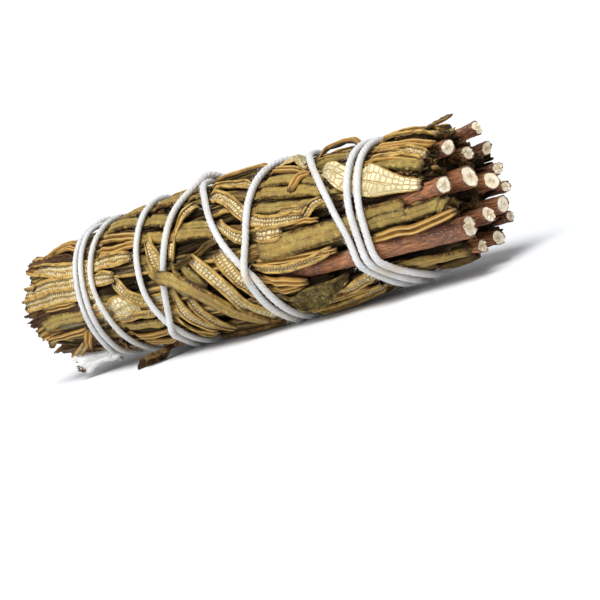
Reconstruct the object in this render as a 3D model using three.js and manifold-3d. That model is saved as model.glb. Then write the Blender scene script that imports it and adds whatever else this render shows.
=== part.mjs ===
// A dried herb smudge stick: woody sprigs laid side by side, cut square at both ends and bound
// with one length of cotton twine that winds to the butt end and back over itself to its knot.
// It lies on its side on the ground. +X points to the cut stems, +Z is up, and the origin is
// at the middle of the underside.
import * as THREE from "three";
import { mergeVertices } from "three/addons/utils/BufferGeometryUtils.js";
import Module from "manifold-3d";

const wasm = await Module();
wasm.setup();

// Driving dimensions, in millimetres. A station is a distance from the tip end along the stick,
// and a turn is an angle round it in degrees: 0 on top, 90 on the front (-Y), 180 underneath.
const BODY_LENGTH = 102.5; // the bound leaves, from the tip end to the butt end
const GIRTH = [
  [0, 9.8], [6, 11.5], [16, 13], [31, 14.5], [51, 15.2], [70, 14.4], [86, 13.1], [96, 12.4], [102.5, 11.9],
]; // radius of the leaves between the windings, at stations
const AXIS_HEIGHT = 15.3; // the fullest leaves are pressed flat on the ground
const LEAF_THICK = 0.8;
const HEART_DEPTH = 2.3; // how far below the girth the inner leaves lie, under the outer ones
const TWINE = 1.6; // diameter of the cotton twine
const TWINE_LIFT = 0.45; // how far its middle stands above the girth
const TWINE_SIDES = 6;
const TWINE_STEP = 20; // degrees of turn between two rings of the twine
const FIT_GAP = 0.3; // clearance between two pieces that lie against each other
const PRESS_GAP = 0.65; // clearance of a leaf under the twine, whose rings are joined by straight lines
const PRESSED_REACH = 1.2; // a winding holds a leaf down this far to either side,
const PRESSED_RISE = 2.6; // and over this distance more the leaf rises again
const FINE_STEPS = 48;
const LEAF_BEND = 0.25; // how far a leaf may stray from straight between two rings
const ROOT_SHARE = 0.2; // how much of a fused leaf's length dives into the heart
const SEED = 20417;

// The route of the twine, as [turn, station]: it starts at the knot, winds to the butt end,
// goes round there and comes back over itself.
const TWINE_ROUTE = [
  [165, 11.2], [270, 13.0], [366, 14.5], [400, 15.7], [440, 16.4], [485, 15.9], [520, 14.9], [630, 16.8],
  [720, 19.4], [786, 18.9], [820, 20.0], [850, 20.9], [880, 22.2], [990, 27.0],
  [1080, 31.5], [1134, 32.2], [1169, 32.2], [1196, 33.3], [1215, 34.6], [1240, 36.0], [1340, 39.8],
  [1440, 44.4], [1476, 49.3], [1509, 53.5], [1531, 56.9], [1545, 58.9], [1570, 59.9], [1600, 60.8],
  [1700, 65.0], [1800, 70.0], [1820, 72.8], [1844, 76.5], [1866, 79.2], [1894, 81.3], [1920, 82.0],
  [1960, 83.6], [2060, 84.6], [2160, 84.5], [2220, 85.1], [2259, 85.3], [2288, 86.5], [2320, 89.6],
  [2420, 88.0], [2520, 82.2], [2560, 82.7], [2620, 83.4], [2650, 84.4], [2680, 86.2], [2780, 75.0],
  [2880, 62.0], [2913, 60.7], [2948, 59.8], [2975, 58.0], [3000, 57.3], [3030, 58.0], [3060, 57.4],
  [3150, 51.0], [3240, 43.6], [3275, 41.0], [3309, 39.2], [3334, 37.2], [3355, 35.2], [3370, 33.6],
  [3390, 32.6], [3510, 24.5],
  [3600, 12.8], [3640, 14.0], [3680, 14.7], [3725, 14.1], [3747, 12.6], [3768, 11.0],
];
const CROSSING_RISE = 1.3; // how far the upper of two crossing windings stands above the lower
const STRETCH = 300; // degrees of turn that are built at a time
const KNOT_SIZE = [3.8, 3.2, 2.7];
// The frayed tail, as [station, y, z, width, thickness], with y and z from the line on the ground
// under the axis.
const TAIL = [
  [11.4, -3.2, 2.6, 1.4, 1.2], [9.4, -5.0, 1.5, 2.2, 1.0],
  [6.6, -6.6, 0.9, 4.2, 0.9], [3.6, -7.8, 0.9, 6.0, 0.9],
];

// The woody stems: diameter at the cut butt end, and the axis as [station, radius, turn] from
// the thin end to the cut.
const STEMS = [
  { dia: 2.6, path: [[64, 9.6, 321], [102.5, 11.0, 322]] },
  { dia: 3.0, path: [[-0.6, 4.6, 20], [40, 7.4, 14], [84, 8.2, 14], [101.5, 9.8, 20]] },
  { dia: 2.8, path: [[44, 6.4, 340], [70, 7.0, 336], [101, 7.3, 333]] },
  { dia: 3.5, path: [[48, 6.8, 82], [78, 9.4, 78], [90, 10.4, 76], [102.4, 11.0, 71]] },
  { dia: 4.3, path: [[-0.9, 1.6, 60], [30, 2.6, 50], [70, 3.2, 40], [103, 3.4, 35]] },
  { dia: 2.3, path: [[60, 9.5, 278], [102, 10.0, 278]] },
  { dia: 3.5, path: [[-0.4, 4.9, 262], [40, 6.4, 266], [102.2, 6.2, 270]] },
  { dia: 3.4, path: [[48, 7.0, 236], [102.5, 8.4, 234]] },
  { dia: 3.3, path: [[-0.7, 5.0, 176], [40, 5.8, 180], [102.8, 5.2, 183]] },
  { dia: 4.2, path: [[46, 8.0, 112], [64, 10.9, 112], [76, 11.6, 112], [90, 11.2, 114], [103.4, 9.9, 122]] },
  { dia: 2.3, path: [[84, 10.8, 222], [101.8, 11.8, 229]] },
  { dia: 2.3, path: [[66, 8.0, 150], [84, 9.2, 148], [102.6, 11.0, 153]] },
  { dia: 2.8, path: [[58, 7.8, 202], [84, 8.8, 200], [101, 11.0, 200]] },
  { dia: 2.3, path: [[76, 8.4, 254], [101.5, 11.5, 258]] },
  { dia: 2.5, path: [[62, 7.8, 300], [84, 9.0, 300], [101.2, 11.3, 300]] },
];
const STEM_SIDES = 7;
const STEM_BEND = 0.35; // how far a stem may stray from straight between two rings
const STEM_TAPER = 0.62; // thickness of a stem's thin end against its cut end

// Pale leaves that show their net-veined underside, each lying loose on the others: width, then
// the midrib as [station, turn, height of its surface above the girth].
const PALE_LEAVES = [
  { width: 2.9, path: [[-2.2, 30, 0.2], [7, 48, 0.3], [13, 54, 0], [22, 59, 0.3], [30, 62, 0]] },
  { width: 2.7, path: [[-2.0, 62, 0.3], [7, 64, 0.3], [13, 66, 0], [20, 71, 0.2], [25, 74, 0.3]] },
  { width: 2.7, path: [[-2.4, 75, 0.2], [6, 76, 0.2], [13, 78, 0], [19, 83, 0.2]] },
  { width: 3.0, path: [[20.5, 100, 0.4], [24.5, 95, 0.5], [28, 99, 0.4]] },
  { width: 1.9, path: [[26, 79, 0.9], [28.8, 90, 1.0], [32.2, 103, 0.4]] },
  { width: 2.0, path: [[35.5, 54, 0.6], [36.6, 67, 0.7], [36.8, 82, 0.3]] },
  { width: 2.0, path: [[46.5, 34, 0.4], [43.4, 46, 0.5], [41.5, 57, 0.5], [40.4, 74, 0.2]] },
  { width: 2.2, path: [[38.6, 94, 0.4], [39.4, 112, 0.5], [41, 128, 0.5], [42.5, 140, 0.2]] },
  { width: 2.0, path: [[42.4, 104, 0.4], [43.2, 118, 0.5], [44.2, 131, 0.5], [45.6, 146, 0.2]] },
  { width: 2.6, path: [[46.6, 77, 0.9], [51.5, 100, 0.7], [53.6, 124, 0.6], [55.8, 147, 0.2]] },
  { width: 2.2, path: [[52.5, 77, 0.5], [53.8, 91, 0.3], [55.6, 105, 0.2], [57, 122, 0]] },
  { width: 2.2, path: [[49, 27, 0.5], [55, 40, 0.5], [59, 54, 0.3], [62, 62, 0.2], [67, 67, 0.5], [73, 69, 0.5]] },
  { width: 2.0, path: [[52.8, 56, 0.5], [56, 66, 0.5], [59, 74, 0.2]] },
  { width: 2.6, path: [[61.4, 72, 0.3], [64, 74, 0.4], [68, 76, 0.4]] },
  { width: 2.6, path: [[59, 104, 0.1], [63, 110, 0.4], [67.5, 117, 0.5]] },
  { width: 3.2, path: [[63, 150, 0.2], [72, 150, 0.3], [80, 145, 0]] },
  { width: 4.9, path: [[74.5, 25, 0.5], [81, 38, 0.3], [86, 51, 0.3], [92, 62, 0.7], [98.5, 67, 0.8]] },
  { width: 1.8, path: [[48.6, 20, 0.4], [54, 24, 0.4], [59, 27, 0.1]] },
  { width: 2.0, path: [[88, 346, 0.4], [94, 350, 0.8], [100, 356, 0.7]] },
  { width: 2.6, path: [[23, 225, 0.4], [32, 236, 0.5], [39, 252, 0.3]] },
  { width: 3.0, path: [[47, 292, 0.4], [56, 284, 0.5], [66, 270, 0.3]] },
  { width: 2.4, path: [[70, 214, 0.4], [78, 222, 0.5], [86, 236, 0.2]] },
  { width: 2.6, path: [[3, 250, 0.2], [12, 254, 0.1], [22, 262, 0.4]] },
  { width: 2.4, path: [[70, 300, 0.4], [78, 294, 0.2], [88, 289, 0.5]] },
];

// Olive and brown leaves that show their smooth upper side or their folded edge, as above. The
// last three carry the stick.
const DARK_LEAVES = [
  { width: 2.2, path: [[20, 117, 0.2], [28, 118, 0.4], [35, 124, 0.2]] },
  { width: 1.6, path: [[20, 128, 0.3], [28, 130, 0.5], [34, 133, 0.1]] },
  { width: 1.8, path: [[20, 139, 0.2], [27, 141, 0.4], [36, 144, 0.1]] },
  { width: 2.8, path: [[23, 10, 0.2], [33, 14, 0.5], [45, 18, 0.3]] },
  { width: 3.2, path: [[17, 22, 0.2], [28, 27, 0.5], [41, 42, 0.2]] },
  { width: 2.1, path: [[19, 35, 0.5], [25, 40, 0.5], [32, 45, 0.1]] },
  { width: 2.6, path: [[32, 48, 0.4], [40, 54, 0.4], [52, 62, 0.2]] },
  { width: 1.5, path: [[41, 80, 0.5], [47, 75, 0.6], [53, 68, 0.2]] },
  { width: 2.2, path: [[-3.4, 14, 0.4], [4, 33, 0.4], [12, 42, 0]] },
  { width: 1.6, path: [[-2.8, 98, 0.2], [5, 92, 0.3], [13, 89, 0.1]] },
  { width: 1.8, path: [[-2.0, 110, 0.3], [6, 100, 0.4], [14, 98, 0.1]] },
  { width: 2.8, path: [[1, 104, 0.7], [6, 98, 0.8], [14, 100, 0.1]] },
  { width: 1.5, path: [[-1, 124, 0.6], [5, 117, 0.7], [13, 112, 0.1]] },
  { width: 1.7, path: [[-1.5, 150, 0.6], [6, 138, 0.6], [14, 124, 0]] },
  { width: 1.8, path: [[0, 8, 0.5], [6, 14, 0.5], [14, 20, 0]] },
  { width: 2.8, path: [[59, 38, 0.4], [67, 43, 0.5], [78, 51, 0.2]] },
  { width: 2.4, path: [[60, 52, 0.3], [68, 57, 0.4], [79, 60, 0.1]] },
  { width: 4.4, path: [[61.5, 85, 0.7], [72, 85, 0.8], [80, 84, 0.4], [87, 82, 0.1], [94.5, 82, 0.6]] },
  { width: 1.6, path: [[60, 92, 0.2], [66, 95, 0.4], [78, 100, 0.2]] },
  { width: 3.2, path: [[60, 130, 0.4], [66, 140, 0.6], [73, 136, 0.5], [80, 130, 0]] },
  { width: 1.8, path: [[48, 6, 0.4], [56, 2, 0.7], [66, -2, 0.3]] },
  { width: 1.8, path: [[60, 12, 0.5], [68, 22, 0.5], [76, 30, 0]] },
  { width: 2.6, path: [[60, 28, 0.3], [69, 33, 0.4], [80, 40, 0.1]] },
  { width: 2.0, path: [[70.5, 47, 0.9], [72.5, 22, 0.7]] },
  { width: 1.6, path: [[68, 4, 0.6], [78, -8, 1.1], [88, -10, 0.6]] },
  { width: 2.0, path: [[85, 14, 0.2], [93, 20, 0.5], [100.5, 27, 0.2]] },
  { width: 1.8, path: [[84, 30, 0.2], [92, 34, 0.5], [98.5, 43, 0.4]] },
  { width: 3.0, path: [[84, 42, 0.1], [91, 48, 0.4], [99.5, 54, 0.3]] },
  { width: 1.6, path: [[84, 88, 0.2], [93, 91, 0.3], [101, 90, 0.2]] },
  { width: 1.7, path: [[80, 104, 0.4], [90, 97, 0.7], [98, 97, 0.5], [103.6, 88, 0.3]] },
  { width: 2.8, path: [[84, 132, 0.1], [92, 138, 0.3], [100.5, 146, 0.2]] },
  { width: 4.4, path: [[39, 178, 0.4], [47, 180, 0.6], [56, 181, 0.4]] },
  { width: 3.6, path: [[38, 164, 0.4], [46, 163, 0.6], [57, 166, 0.4]] },
  { width: 3.6, path: [[41, 194, 0.4], [48, 197, 0.6], [54, 195, 0.4]] },
];
// The long olive leaf that has slipped out over the twine.
const LOOSE_LEAF = {
  width: 2.8,
  path: [[35.5, 81, 2.5], [40, 89, 2.4], [46, 104, 1.7], [51, 127, 1.3], [53, 148, 0.9]],
};
// Width of a leaf's two ends against its middle, and the share of its length that each end takes.
const DARK_ENDS = [0.75, 0.6];
const PALE_ENDS = [0.8, 0.5];
const LOOSE_ENDS = [0.5, 0.6];
const END_SHARE = 1 / 3;
const BUTT_LEAVES = 94.5; // leaves that end past this station are rooted at their other end
const NARROWEST_STRAP = 2; // narrower leaves are folded, with the ridge to one side

// Olive leaves by rule where none of those lie, in rows round the back.
const BACK_TURNS = [160, 342];
const BACK_ROWS = 9;
const BACK_COURSES = 3;
const BACK_WIDTH = [3.0, 4.2];
const BACK_DEPTH = [1.0, 1.25]; // how far below the girth they lie, clear of the twine
const BACK_SCATTER = 3; // in millimetres along the stick and degrees of turn
const BACK_LEAN = 5; // degrees of turn
const BACK_RAGGED = 2; // how unevenly they end
const BACK_OVERLAP = 0.4; // share of a course that lies past the tip end

// The inner leaves: strips side by side round the heart of the bundle, at uneven heights.
const HEART_STRIPS = 20;
const HEART_RINGS = 12;
const HEART_ENDS = [1.5, 96.5]; // stations
const HEART_RAGGED = 2.4; // how unevenly its strips end
const STRIP_UNEVEN = 0.5;
const STRIP_TILT = 0.3;
const STRIP_VALLEY = 1.0; // depth of the grooves between them
const STRIP_WANDER = 6; // degrees of turn
const WANDER_LENGTH = 17; // of one radian of that wander
const LEVEL_RINGS = 4; // rings from one change of a strip's height to the next
// Ends of inner leaves that stand out of the cut faces: where they start and how far they reach.
const TIP_STUBS = { count: 18, station: 3, reach: [-2.5, -4.3] };
const BUTT_STUBS = { count: 12, station: 95, reach: [2.4, 4.1] };
const STUB_WIDTH = [2.2, 3.2];
const STUB_SPREAD = 0.92; // share of the face's radius that they cover
const STUB_LEAN = 3; // degrees of turn
const GOLDEN_TURN = 137.5;

const radians = THREE.MathUtils.degToRad;
const upwards = new THREE.Vector3(0, 0, 1);

const between = ([low, high], draw) => low + (high - low) * draw();

const smooth = (x) => {
  const t = Math.min(1, Math.max(0, x));
  return t * t * (3 - 2 * t);
};

// Numbers from 0 to 1 that are the same each time.
function drawer(seed) {
  let state = seed;
  return () => {
    state = (state + 0x6d2b79f5) | 0;
    let t = Math.imul(state ^ (state >>> 15), 1 | state);
    t = (t + Math.imul(t ^ (t >>> 7), 61 | t)) ^ t;
    return ((t ^ (t >>> 14)) >>> 0) / 4294967296;
  };
}

// The radius of the leaves between the windings, at a station.
function girthAt(station) {
  const s = THREE.MathUtils.clamp(station, GIRTH[0][0], GIRTH.at(-1)[0]);
  const i = Math.min(GIRTH.length - 2, GIRTH.findLastIndex(([at]) => at <= s));
  const [[s0, r0], [s1, r1]] = [GIRTH[i], GIRTH[i + 1]];
  return r0 + ((r1 - r0) * (s - s0)) / (s1 - s0);
}

// A smooth curve through rows of numbers, evaluated at t from 0 to 1.
function along(rows, t) {
  const last = rows.length - 1;
  const i = Math.min(last - 1, Math.floor(t * last));
  const u = t * last - i;
  const [a, b, c, d] = [rows[Math.max(0, i - 1)], rows[i], rows[i + 1], rows[Math.min(last, i + 2)]];
  return b.map((_, k) => {
    const [p, q, r, s] = [a[k], b[k], c[k], d[k]];
    return q + (u * (r - p + u * (2 * p - 5 * q + 4 * r - s + u * (3 * (q - r) + s - p)))) / 2;
  });
}

// A point at a station, radius and turn, and the direction outwards there.
function placeAt(station, radius, turn) {
  const out = new THREE.Vector3(0, -Math.sin(radians(turn)), Math.cos(radians(turn)));
  const point = out.clone().multiplyScalar(radius);
  point.x = station - BODY_LENGTH / 2;
  point.z += AXIS_HEIGHT;
  return { point, out };
}

// The rings of a swept solid: at each the point, the direction outwards, how wide and thick the
// section is, and which way the course heads.
function course(count, at) {
  const rings = Array.from({ length: count + 1 }, (_, i) => at(i / count));
  rings.forEach((ring, i) => {
    const [before, after] = [rings[Math.max(0, i - 1)], rings[Math.min(count, i + 1)]];
    ring.heading = after.point.clone().sub(before.point).normalize();
  });
  return rings;
}

// Only those rings of a fine course where it bends by more than a tolerance.
function bends(rings, tolerance) {
  const [first, last] = [rings[0], rings.at(-1)];
  const chord = new THREE.Line3(first.point, last.point);
  const nearest = (point) => chord.closestPointToPoint(point, true, new THREE.Vector3());
  const strays = rings.map(({ point }) => nearest(point).distanceTo(point));
  const most = Math.max(...strays);
  if (most < tolerance) return [first, last];
  const k = strays.indexOf(most);
  return [...bends(rings.slice(0, k + 1), tolerance).slice(0, -1), ...bends(rings.slice(k), tolerance)];
}

// The solid of a section swept along rings.
function sweep(section, rings) {
  const steps = rings.length - 1;
  const shape = new THREE.Shape(section.map(([x, y]) => new THREE.Vector2(x, y)));
  const straight = new THREE.ExtrudeGeometry(shape, { depth: 1, steps, bevelEnabled: false });
  const position = straight.getAttribute("position");
  for (let k = 0; k < position.count; k += 1) {
    const { point, out, heading, wide, thick } = rings[Math.round(position.getZ(k) * steps)];
    const across = new THREE.Vector3().crossVectors(out, heading).normalize();
    const up = new THREE.Vector3().crossVectors(heading, across);
    const moved = point.clone();
    moved.addScaledVector(across, position.getX(k) * wide);
    moved.addScaledVector(up, position.getY(k) * thick);
    position.setXYZ(k, moved.x, moved.y, moved.z);
  }
  return solidOf(straight);
}

function solidOf(geometry) {
  geometry.deleteAttribute("normal");
  geometry.deleteAttribute("uv");
  const merged = mergeVertices(geometry, 1e-4);
  return new wasm.Manifold(
    new wasm.Mesh({
      numProp: 3,
      vertProperties: merged.getAttribute("position").array,
      triVerts: new Uint32Array(merged.index.array),
    }),
  );
}

function geometryOf(solid) {
  const { vertProperties, triVerts } = solid.getMesh();
  const geometry = new THREE.BufferGeometry();
  geometry.setAttribute("position", new THREE.BufferAttribute(vertProperties, 3));
  geometry.setIndex(new THREE.BufferAttribute(triVerts, 1));
  geometry.computeVertexNormals();
  return geometry;
}

// The largest body of a solid, without closed pockets and without scraps that a cut left loose.
function mainBody(solid) {
  return solid.decompose().reduce((best, one) => (one.volume() > best.volume() ? one : best));
}

// Sections, 1 wide and 1 thick: a round rod, a block, a flat strap, a strap with its ridge to one
// side, and a leaf with rolled edges and a raised midrib.
const round = (sides) =>
  Array.from({ length: sides }, (_, i) => {
    const angle = (2 * Math.PI * (i + 0.5)) / sides + Math.PI / 2;
    return [Math.cos(angle) / 2, Math.sin(angle) / 2];
  });
const BLOCK = [[-0.5, -0.5], [0.5, -0.5], [0.5, 0.5], [-0.5, 0.5]];
const STRAP = [[-0.5, -0.5], [0.5, -0.5], [0.42, 0.5], [-0.42, 0.5]];
const TILTED = [[-0.5, -0.5], [0.5, -0.5], [0.45, 0.26], [-0.12, 0.5]];
const RIBBED = [[-0.5, -0.5], [0.5, -0.5], [0.4, 0.5], [0.2, 0.05], [0, 0.45], [-0.2, 0.05], [-0.4, 0.5]];

// How far from the axis the outside of a stem swollen by a margin is, at a station and turn.
function stemReach({ dia, path }, station, turn, margin) {
  const share = (station - path[0][0]) / (path.at(-1)[0] - path[0][0]);
  if (share < 0 || share > 1) return 0;
  const [, radius, at] = along(path, share);
  const sideways = radius * Math.sin(radians(turn - at));
  const half = dia / 2 + margin;
  if (Math.abs(sideways) > half || Math.cos(radians(turn - at)) < 0) return 0;
  return radius * Math.cos(radians(turn - at)) + Math.sqrt(half ** 2 - sideways ** 2);
}

// The station of the route at a turn, on a curve that doesn't overshoot its points.
function routeStation(turn) {
  const last = TWINE_ROUTE.length - 1;
  const k = Math.min(last - 1, TWINE_ROUTE.findLastIndex(([at]) => at <= turn));
  const slope = (i) => {
    const [[t0, s0], [t1, s1]] = [TWINE_ROUTE[i], TWINE_ROUTE[i + 1]];
    return (s1 - s0) / (t1 - t0);
  };
  const tangent = (i) => {
    if (i === 0 || i === last) return slope(Math.min(i, last - 1));
    const [before, after] = [slope(i - 1), slope(i)];
    return before * after <= 0 ? 0 : (2 * before * after) / (before + after);
  };
  const [[from, p], [to, q]] = [TWINE_ROUTE[k], TWINE_ROUTE[k + 1]];
  const u = (turn - from) / (to - from);
  const bend = (to - from) * (u * (1 - u) ** 2 * tangent(k) - u * u * (1 - u) * tangent(k + 1));
  return (1 + 2 * u) * (1 - u) ** 2 * p + u * u * (3 - 2 * u) * q + bend;
}

// How far apart a place is from the stretch of twine between two rings, along the surface.
function apartFrom(station, turn, radius, one, two) {
  const arc = (t) => radians(((((t - turn + 180) % 360) + 360) % 360) - 180) * radius;
  const [x, y] = [one.station - station, arc(one.turn)];
  const [dx, dy] = [two.station - one.station, radians(two.turn - one.turn) * radius];
  const share = THREE.MathUtils.clamp(-(x * dx + y * dy) / (dx * dx + dy * dy), 0, 1);
  return Math.hypot(x + share * dx, y + share * dy);
}

// The windings: each lies on the leaves and stems, rises over the windings under it, and runs
// straight where it leaves them. Underneath, the ground presses it in.
function wind() {
  const [first, last] = [TWINE_ROUTE[0][0], TWINE_ROUTE.at(-1)[0]];
  const count = Math.round((last - first) / TWINE_STEP);
  const half = TWINE / 2;
  const rows = Array.from({ length: count + 1 }, (_, i) => {
    const turn = first + ((last - first) * i) / count;
    const station = routeStation(turn);
    const overStems = STEMS.map((one) => stemReach(one, station, turn, half + FIT_GAP));
    return { turn, station, radius: Math.max(girthAt(station) + TWINE_LIFT, ...overStems) };
  });
  const settle = (row) => {
    const down = -Math.cos(radians(row.turn));
    if (down > 0) row.radius = Math.min(row.radius, (AXIS_HEIGHT - half) / down);
  };
  const halfTurn = Math.ceil(180 / TWINE_STEP);
  rows.forEach((row, i) => {
    settle(row);
    for (let j = 0; j < i - halfTurn; j += 1) {
      const apart = apartFrom(row.station, row.turn, row.radius, rows[j], rows[j + 1]);
      const rise = Math.sqrt(Math.max(0, CROSSING_RISE ** 2 - apart ** 2));
      if (rise > 0) row.radius = Math.max(row.radius, (rows[j].radius + rows[j + 1].radius) / 2 + rise);
    }
  });
  const taut = Math.cos(radians(TWINE_STEP));
  for (let i = 1; i < count; i += 1) {
    rows[i].radius = Math.max(rows[i].radius, ((rows[i - 1].radius + rows[i + 1].radius) / 2) * taut);
    settle(rows[i]);
  }
  return rows;
}

const windings = wind();

// The twine as a solid of any section, built a stretch at a time.
function twineSolid(section, across) {
  const last = windings.length - 1;
  const rings = course(last, (t) => {
    const { station, radius, turn } = windings[Math.round(t * last)];
    return { ...placeAt(station, radius, turn), wide: across, thick: across };
  });
  const steps = STRETCH / TWINE_STEP;
  const stretches = [];
  for (let i = 0; i < last; i += steps) stretches.push(sweep(section, rings.slice(i, i + steps + 1)));
  return wasm.Manifold.union(stretches);
}

// The highest that the outside of a leaf can lie to pass under the windings near it.
function underTwine(station, turn, radius) {
  let allowed = radius;
  for (let i = 0; i < windings.length - 1; i += 1) {
    const apart = apartFrom(station, turn, radius, windings[i], windings[i + 1]);
    if (apart > PRESSED_REACH + PRESSED_RISE) continue;
    const under = Math.min(windings[i].radius, windings[i + 1].radius) - TWINE / 2 - PRESS_GAP;
    const rise = smooth((apart - PRESSED_REACH) / PRESSED_RISE);
    allowed = Math.min(allowed, under + Math.max(0, radius - under) * rise);
  }
  return allowed;
}

// One leaf along its line of [station, turn, height above the girth], narrower towards its ends
// and bent down where a winding passes over it. A rooted one dives into the heart at one end.
// It is drawn larger where it is used to cut a gap.
function leaf({ width, path, section = STRAP, ends = DARK_ENDS, pressed = true, rooted = false, grow = 0 }) {
  const rootFirst = path.at(-1)[0] > BUTT_LEAVES;
  const fine = course(FINE_STEPS, (t) => {
    const [station, turn, height] = along(path, t);
    const free = girthAt(station) + height;
    const dive = rooted ? smooth(((rootFirst ? 1 - t : t) - 1 + ROOT_SHARE) / ROOT_SHARE) : 0;
    const dived = dive * (HEART_DEPTH + LEAF_THICK + height);
    const top = (pressed ? underTwine(station, turn, free) : free) - dived;
    const start = (1 - ends[0]) * (1 - smooth(t / END_SHARE));
    const end = (1 - ends[1]) * (1 - smooth((1 - t) / END_SHARE));
    const wide = width * (1 - start - end) + 2 * grow;
    return { ...placeAt(station, top - LEAF_THICK / 2, turn), wide, thick: LEAF_THICK + 2 * grow };
  });
  const rings = bends(fine, LEAF_BEND);
  rings[0].point.addScaledVector(rings[0].heading, -grow);
  rings.at(-1).point.addScaledVector(rings.at(-1).heading, grow);
  return sweep(section, rings);
}

function stem({ dia, path }, grow = 0) {
  const fine = course(FINE_STEPS, (t) => {
    const [station, radius, turn] = along(path, t);
    const thick = dia * (STEM_TAPER + (1 - STEM_TAPER) * t) + 2 * grow;
    return { ...placeAt(station, radius, turn), wide: thick, thick };
  });
  const rings = bends(fine, STEM_BEND);
  rings[0].point.addScaledVector(rings[0].heading, -grow);
  return sweep(round(STEM_SIDES), rings);
}

// The heart of the bundle: each strip is three points wide, a groove and the two edges of its
// tilted top, and changes height where one inner leaf ends and the next begins.
function heart(draw) {
  const columns = 3 * HEART_STRIPS;
  const geometry = new THREE.CylinderGeometry(1, 1, 1, columns, HEART_RINGS);
  const strips = Array.from({ length: HEART_STRIPS }, () => {
    const levels = Array.from({ length: HEART_RINGS / LEVEL_RINGS + 1 }, () => STRIP_UNEVEN * draw());
    const shift = Math.floor(LEVEL_RINGS * draw());
    return { levels, shift, ragged: [-HEART_RAGGED * draw(), HEART_RAGGED * draw()] };
  });
  const position = geometry.getAttribute("position");
  for (let i = 0; i < position.count; i += 1) {
    const [x, y, z] = [position.getX(i), position.getY(i), position.getZ(i)];
    const column = (Math.round((Math.atan2(x, z) / (2 * Math.PI)) * columns) + columns) % columns;
    const ring = Math.round((0.5 + y) * HEART_RINGS);
    const { levels, shift, ragged } = strips[Math.floor(column / 3)];
    const level = levels[Math.floor((ring + shift) / LEVEL_RINGS)];
    const depth = column % 3 ? level + STRIP_TILT * (column % 3 - 1) : STRIP_VALLEY + STRIP_UNEVEN;
    const plain = THREE.MathUtils.lerp(...HEART_ENDS, 0.5 + y);
    const centre = Math.hypot(x, z) < 0.5;
    const radius = centre ? 0 : girthAt(plain) - HEART_DEPTH - depth;
    const end = centre || ring % HEART_RINGS ? 0 : ragged[ring / HEART_RINGS];
    const turn = (column / columns) * 360 + STRIP_WANDER * Math.sin(plain / WANDER_LENGTH);
    const { point } = placeAt(plain + end, radius, turn);
    position.setXYZ(i, point.x, point.y, point.z);
  }
  return solidOf(geometry);
}

function backLeaves(draw) {
  const pitch = BODY_LENGTH / BACK_COURSES;
  return Array.from({ length: BACK_ROWS * BACK_COURSES }, (_, i) => {
    const [row, k] = [i % BACK_ROWS, Math.floor(i / BACK_ROWS)];
    const turn = THREE.MathUtils.lerp(...BACK_TURNS, (row + 0.5) / BACK_ROWS) + BACK_SCATTER * draw();
    const start = pitch * (k + (row % 3) / 3 - BACK_OVERLAP) + BACK_SCATTER * draw();
    const from = Math.max(-BACK_RAGGED * draw(), start);
    const to = Math.min(start + pitch - BACK_RAGGED / 2, BODY_LENGTH - BACK_RAGGED * draw());
    const middle = (from + to) / 2;
    const height = -between(BACK_DEPTH, draw);
    const width = (between(BACK_WIDTH, draw) * girthAt(middle)) / AXIS_HEIGHT;
    const lean = BACK_LEAN * (2 * draw() - 1);
    return { width, path: [[from, turn - lean, height], [middle, turn, height], [to, turn + lean, height]] };
  });
}

// The ends of inner leaves, spread evenly over a cut face.
function stubs({ count, station, reach }, draw) {
  const face = girthAt(station) - HEART_DEPTH;
  return Array.from({ length: count }, (_, i) => {
    const radius = face * STUB_SPREAD * Math.sqrt((i + 0.5) / count);
    const turn = i * GOLDEN_TURN;
    const out = between(reach, draw);
    const wide = between(STUB_WIDTH, draw);
    const rings = course(1, (t) => ({
      ...placeAt(station + out * t, radius, turn + STUB_LEAN * t),
      wide,
      thick: LEAF_THICK,
    }));
    return sweep(TILTED, rings);
  });
}

// The knot at the tip end, and the frayed tail that falls from it to the ground.
function knotAndTail() {
  const [turn, station] = TWINE_ROUTE[0];
  const { point } = placeAt(station, girthAt(station) + TWINE_LIFT, turn);
  const knot = new THREE.IcosahedronGeometry(1 / 2, 1);
  knot.scale(...KNOT_SIZE);
  knot.translate(point.x, point.y, point.z);
  const rings = course(TAIL.length, (t) => {
    const [at, y, z, wide, thick] = along(TAIL, t);
    return { point: new THREE.Vector3(at - BODY_LENGTH / 2, y, z), out: upwards, wide, thick };
  });
  return [solidOf(knot), sweep(STRAP, rings)];
}

const bark = new THREE.MeshStandardMaterial({ color: 0x6e4331, roughness: 0.8, metalness: 0 });
const olive = new THREE.MeshStandardMaterial({ color: 0x8a7030, roughness: 0.65, metalness: 0 });
const pale = new THREE.MeshStandardMaterial({ color: 0xd9c48e, roughness: 0.75, metalness: 0 });
const cotton = new THREE.MeshStandardMaterial({ color: 0xefece4, roughness: 0.95, metalness: 0 });

const stick = new THREE.Group();
function add(name, solid, material) {
  const mesh = new THREE.Mesh(geometryOf(mainBody(solid)), material);
  mesh.name = name;
  stick.add(mesh);
}
const numbered = (word, i) => `${word}_${String(i + 1).padStart(2, "0")}`;

const below = 2 * BODY_LENGTH;
const ground = solidOf(new THREE.BoxGeometry(below, below, below).translate(0, 0, -below / 2));
const stemRoom = wasm.Manifold.union(STEMS.map((one) => stem(one, FIT_GAP)));
const twineRoom = twineSolid(BLOCK, TWINE + 2 * FIT_GAP);
const twine = wasm.Manifold.union([twineSolid(round(TWINE_SIDES), TWINE), ...knotAndTail()]).subtract(stemRoom);

const looseShape = { ...LOOSE_LEAF, pressed: false, ends: LOOSE_ENDS };
add("loose_leaf", leaf(looseShape).subtract(twineRoom), olive);

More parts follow.
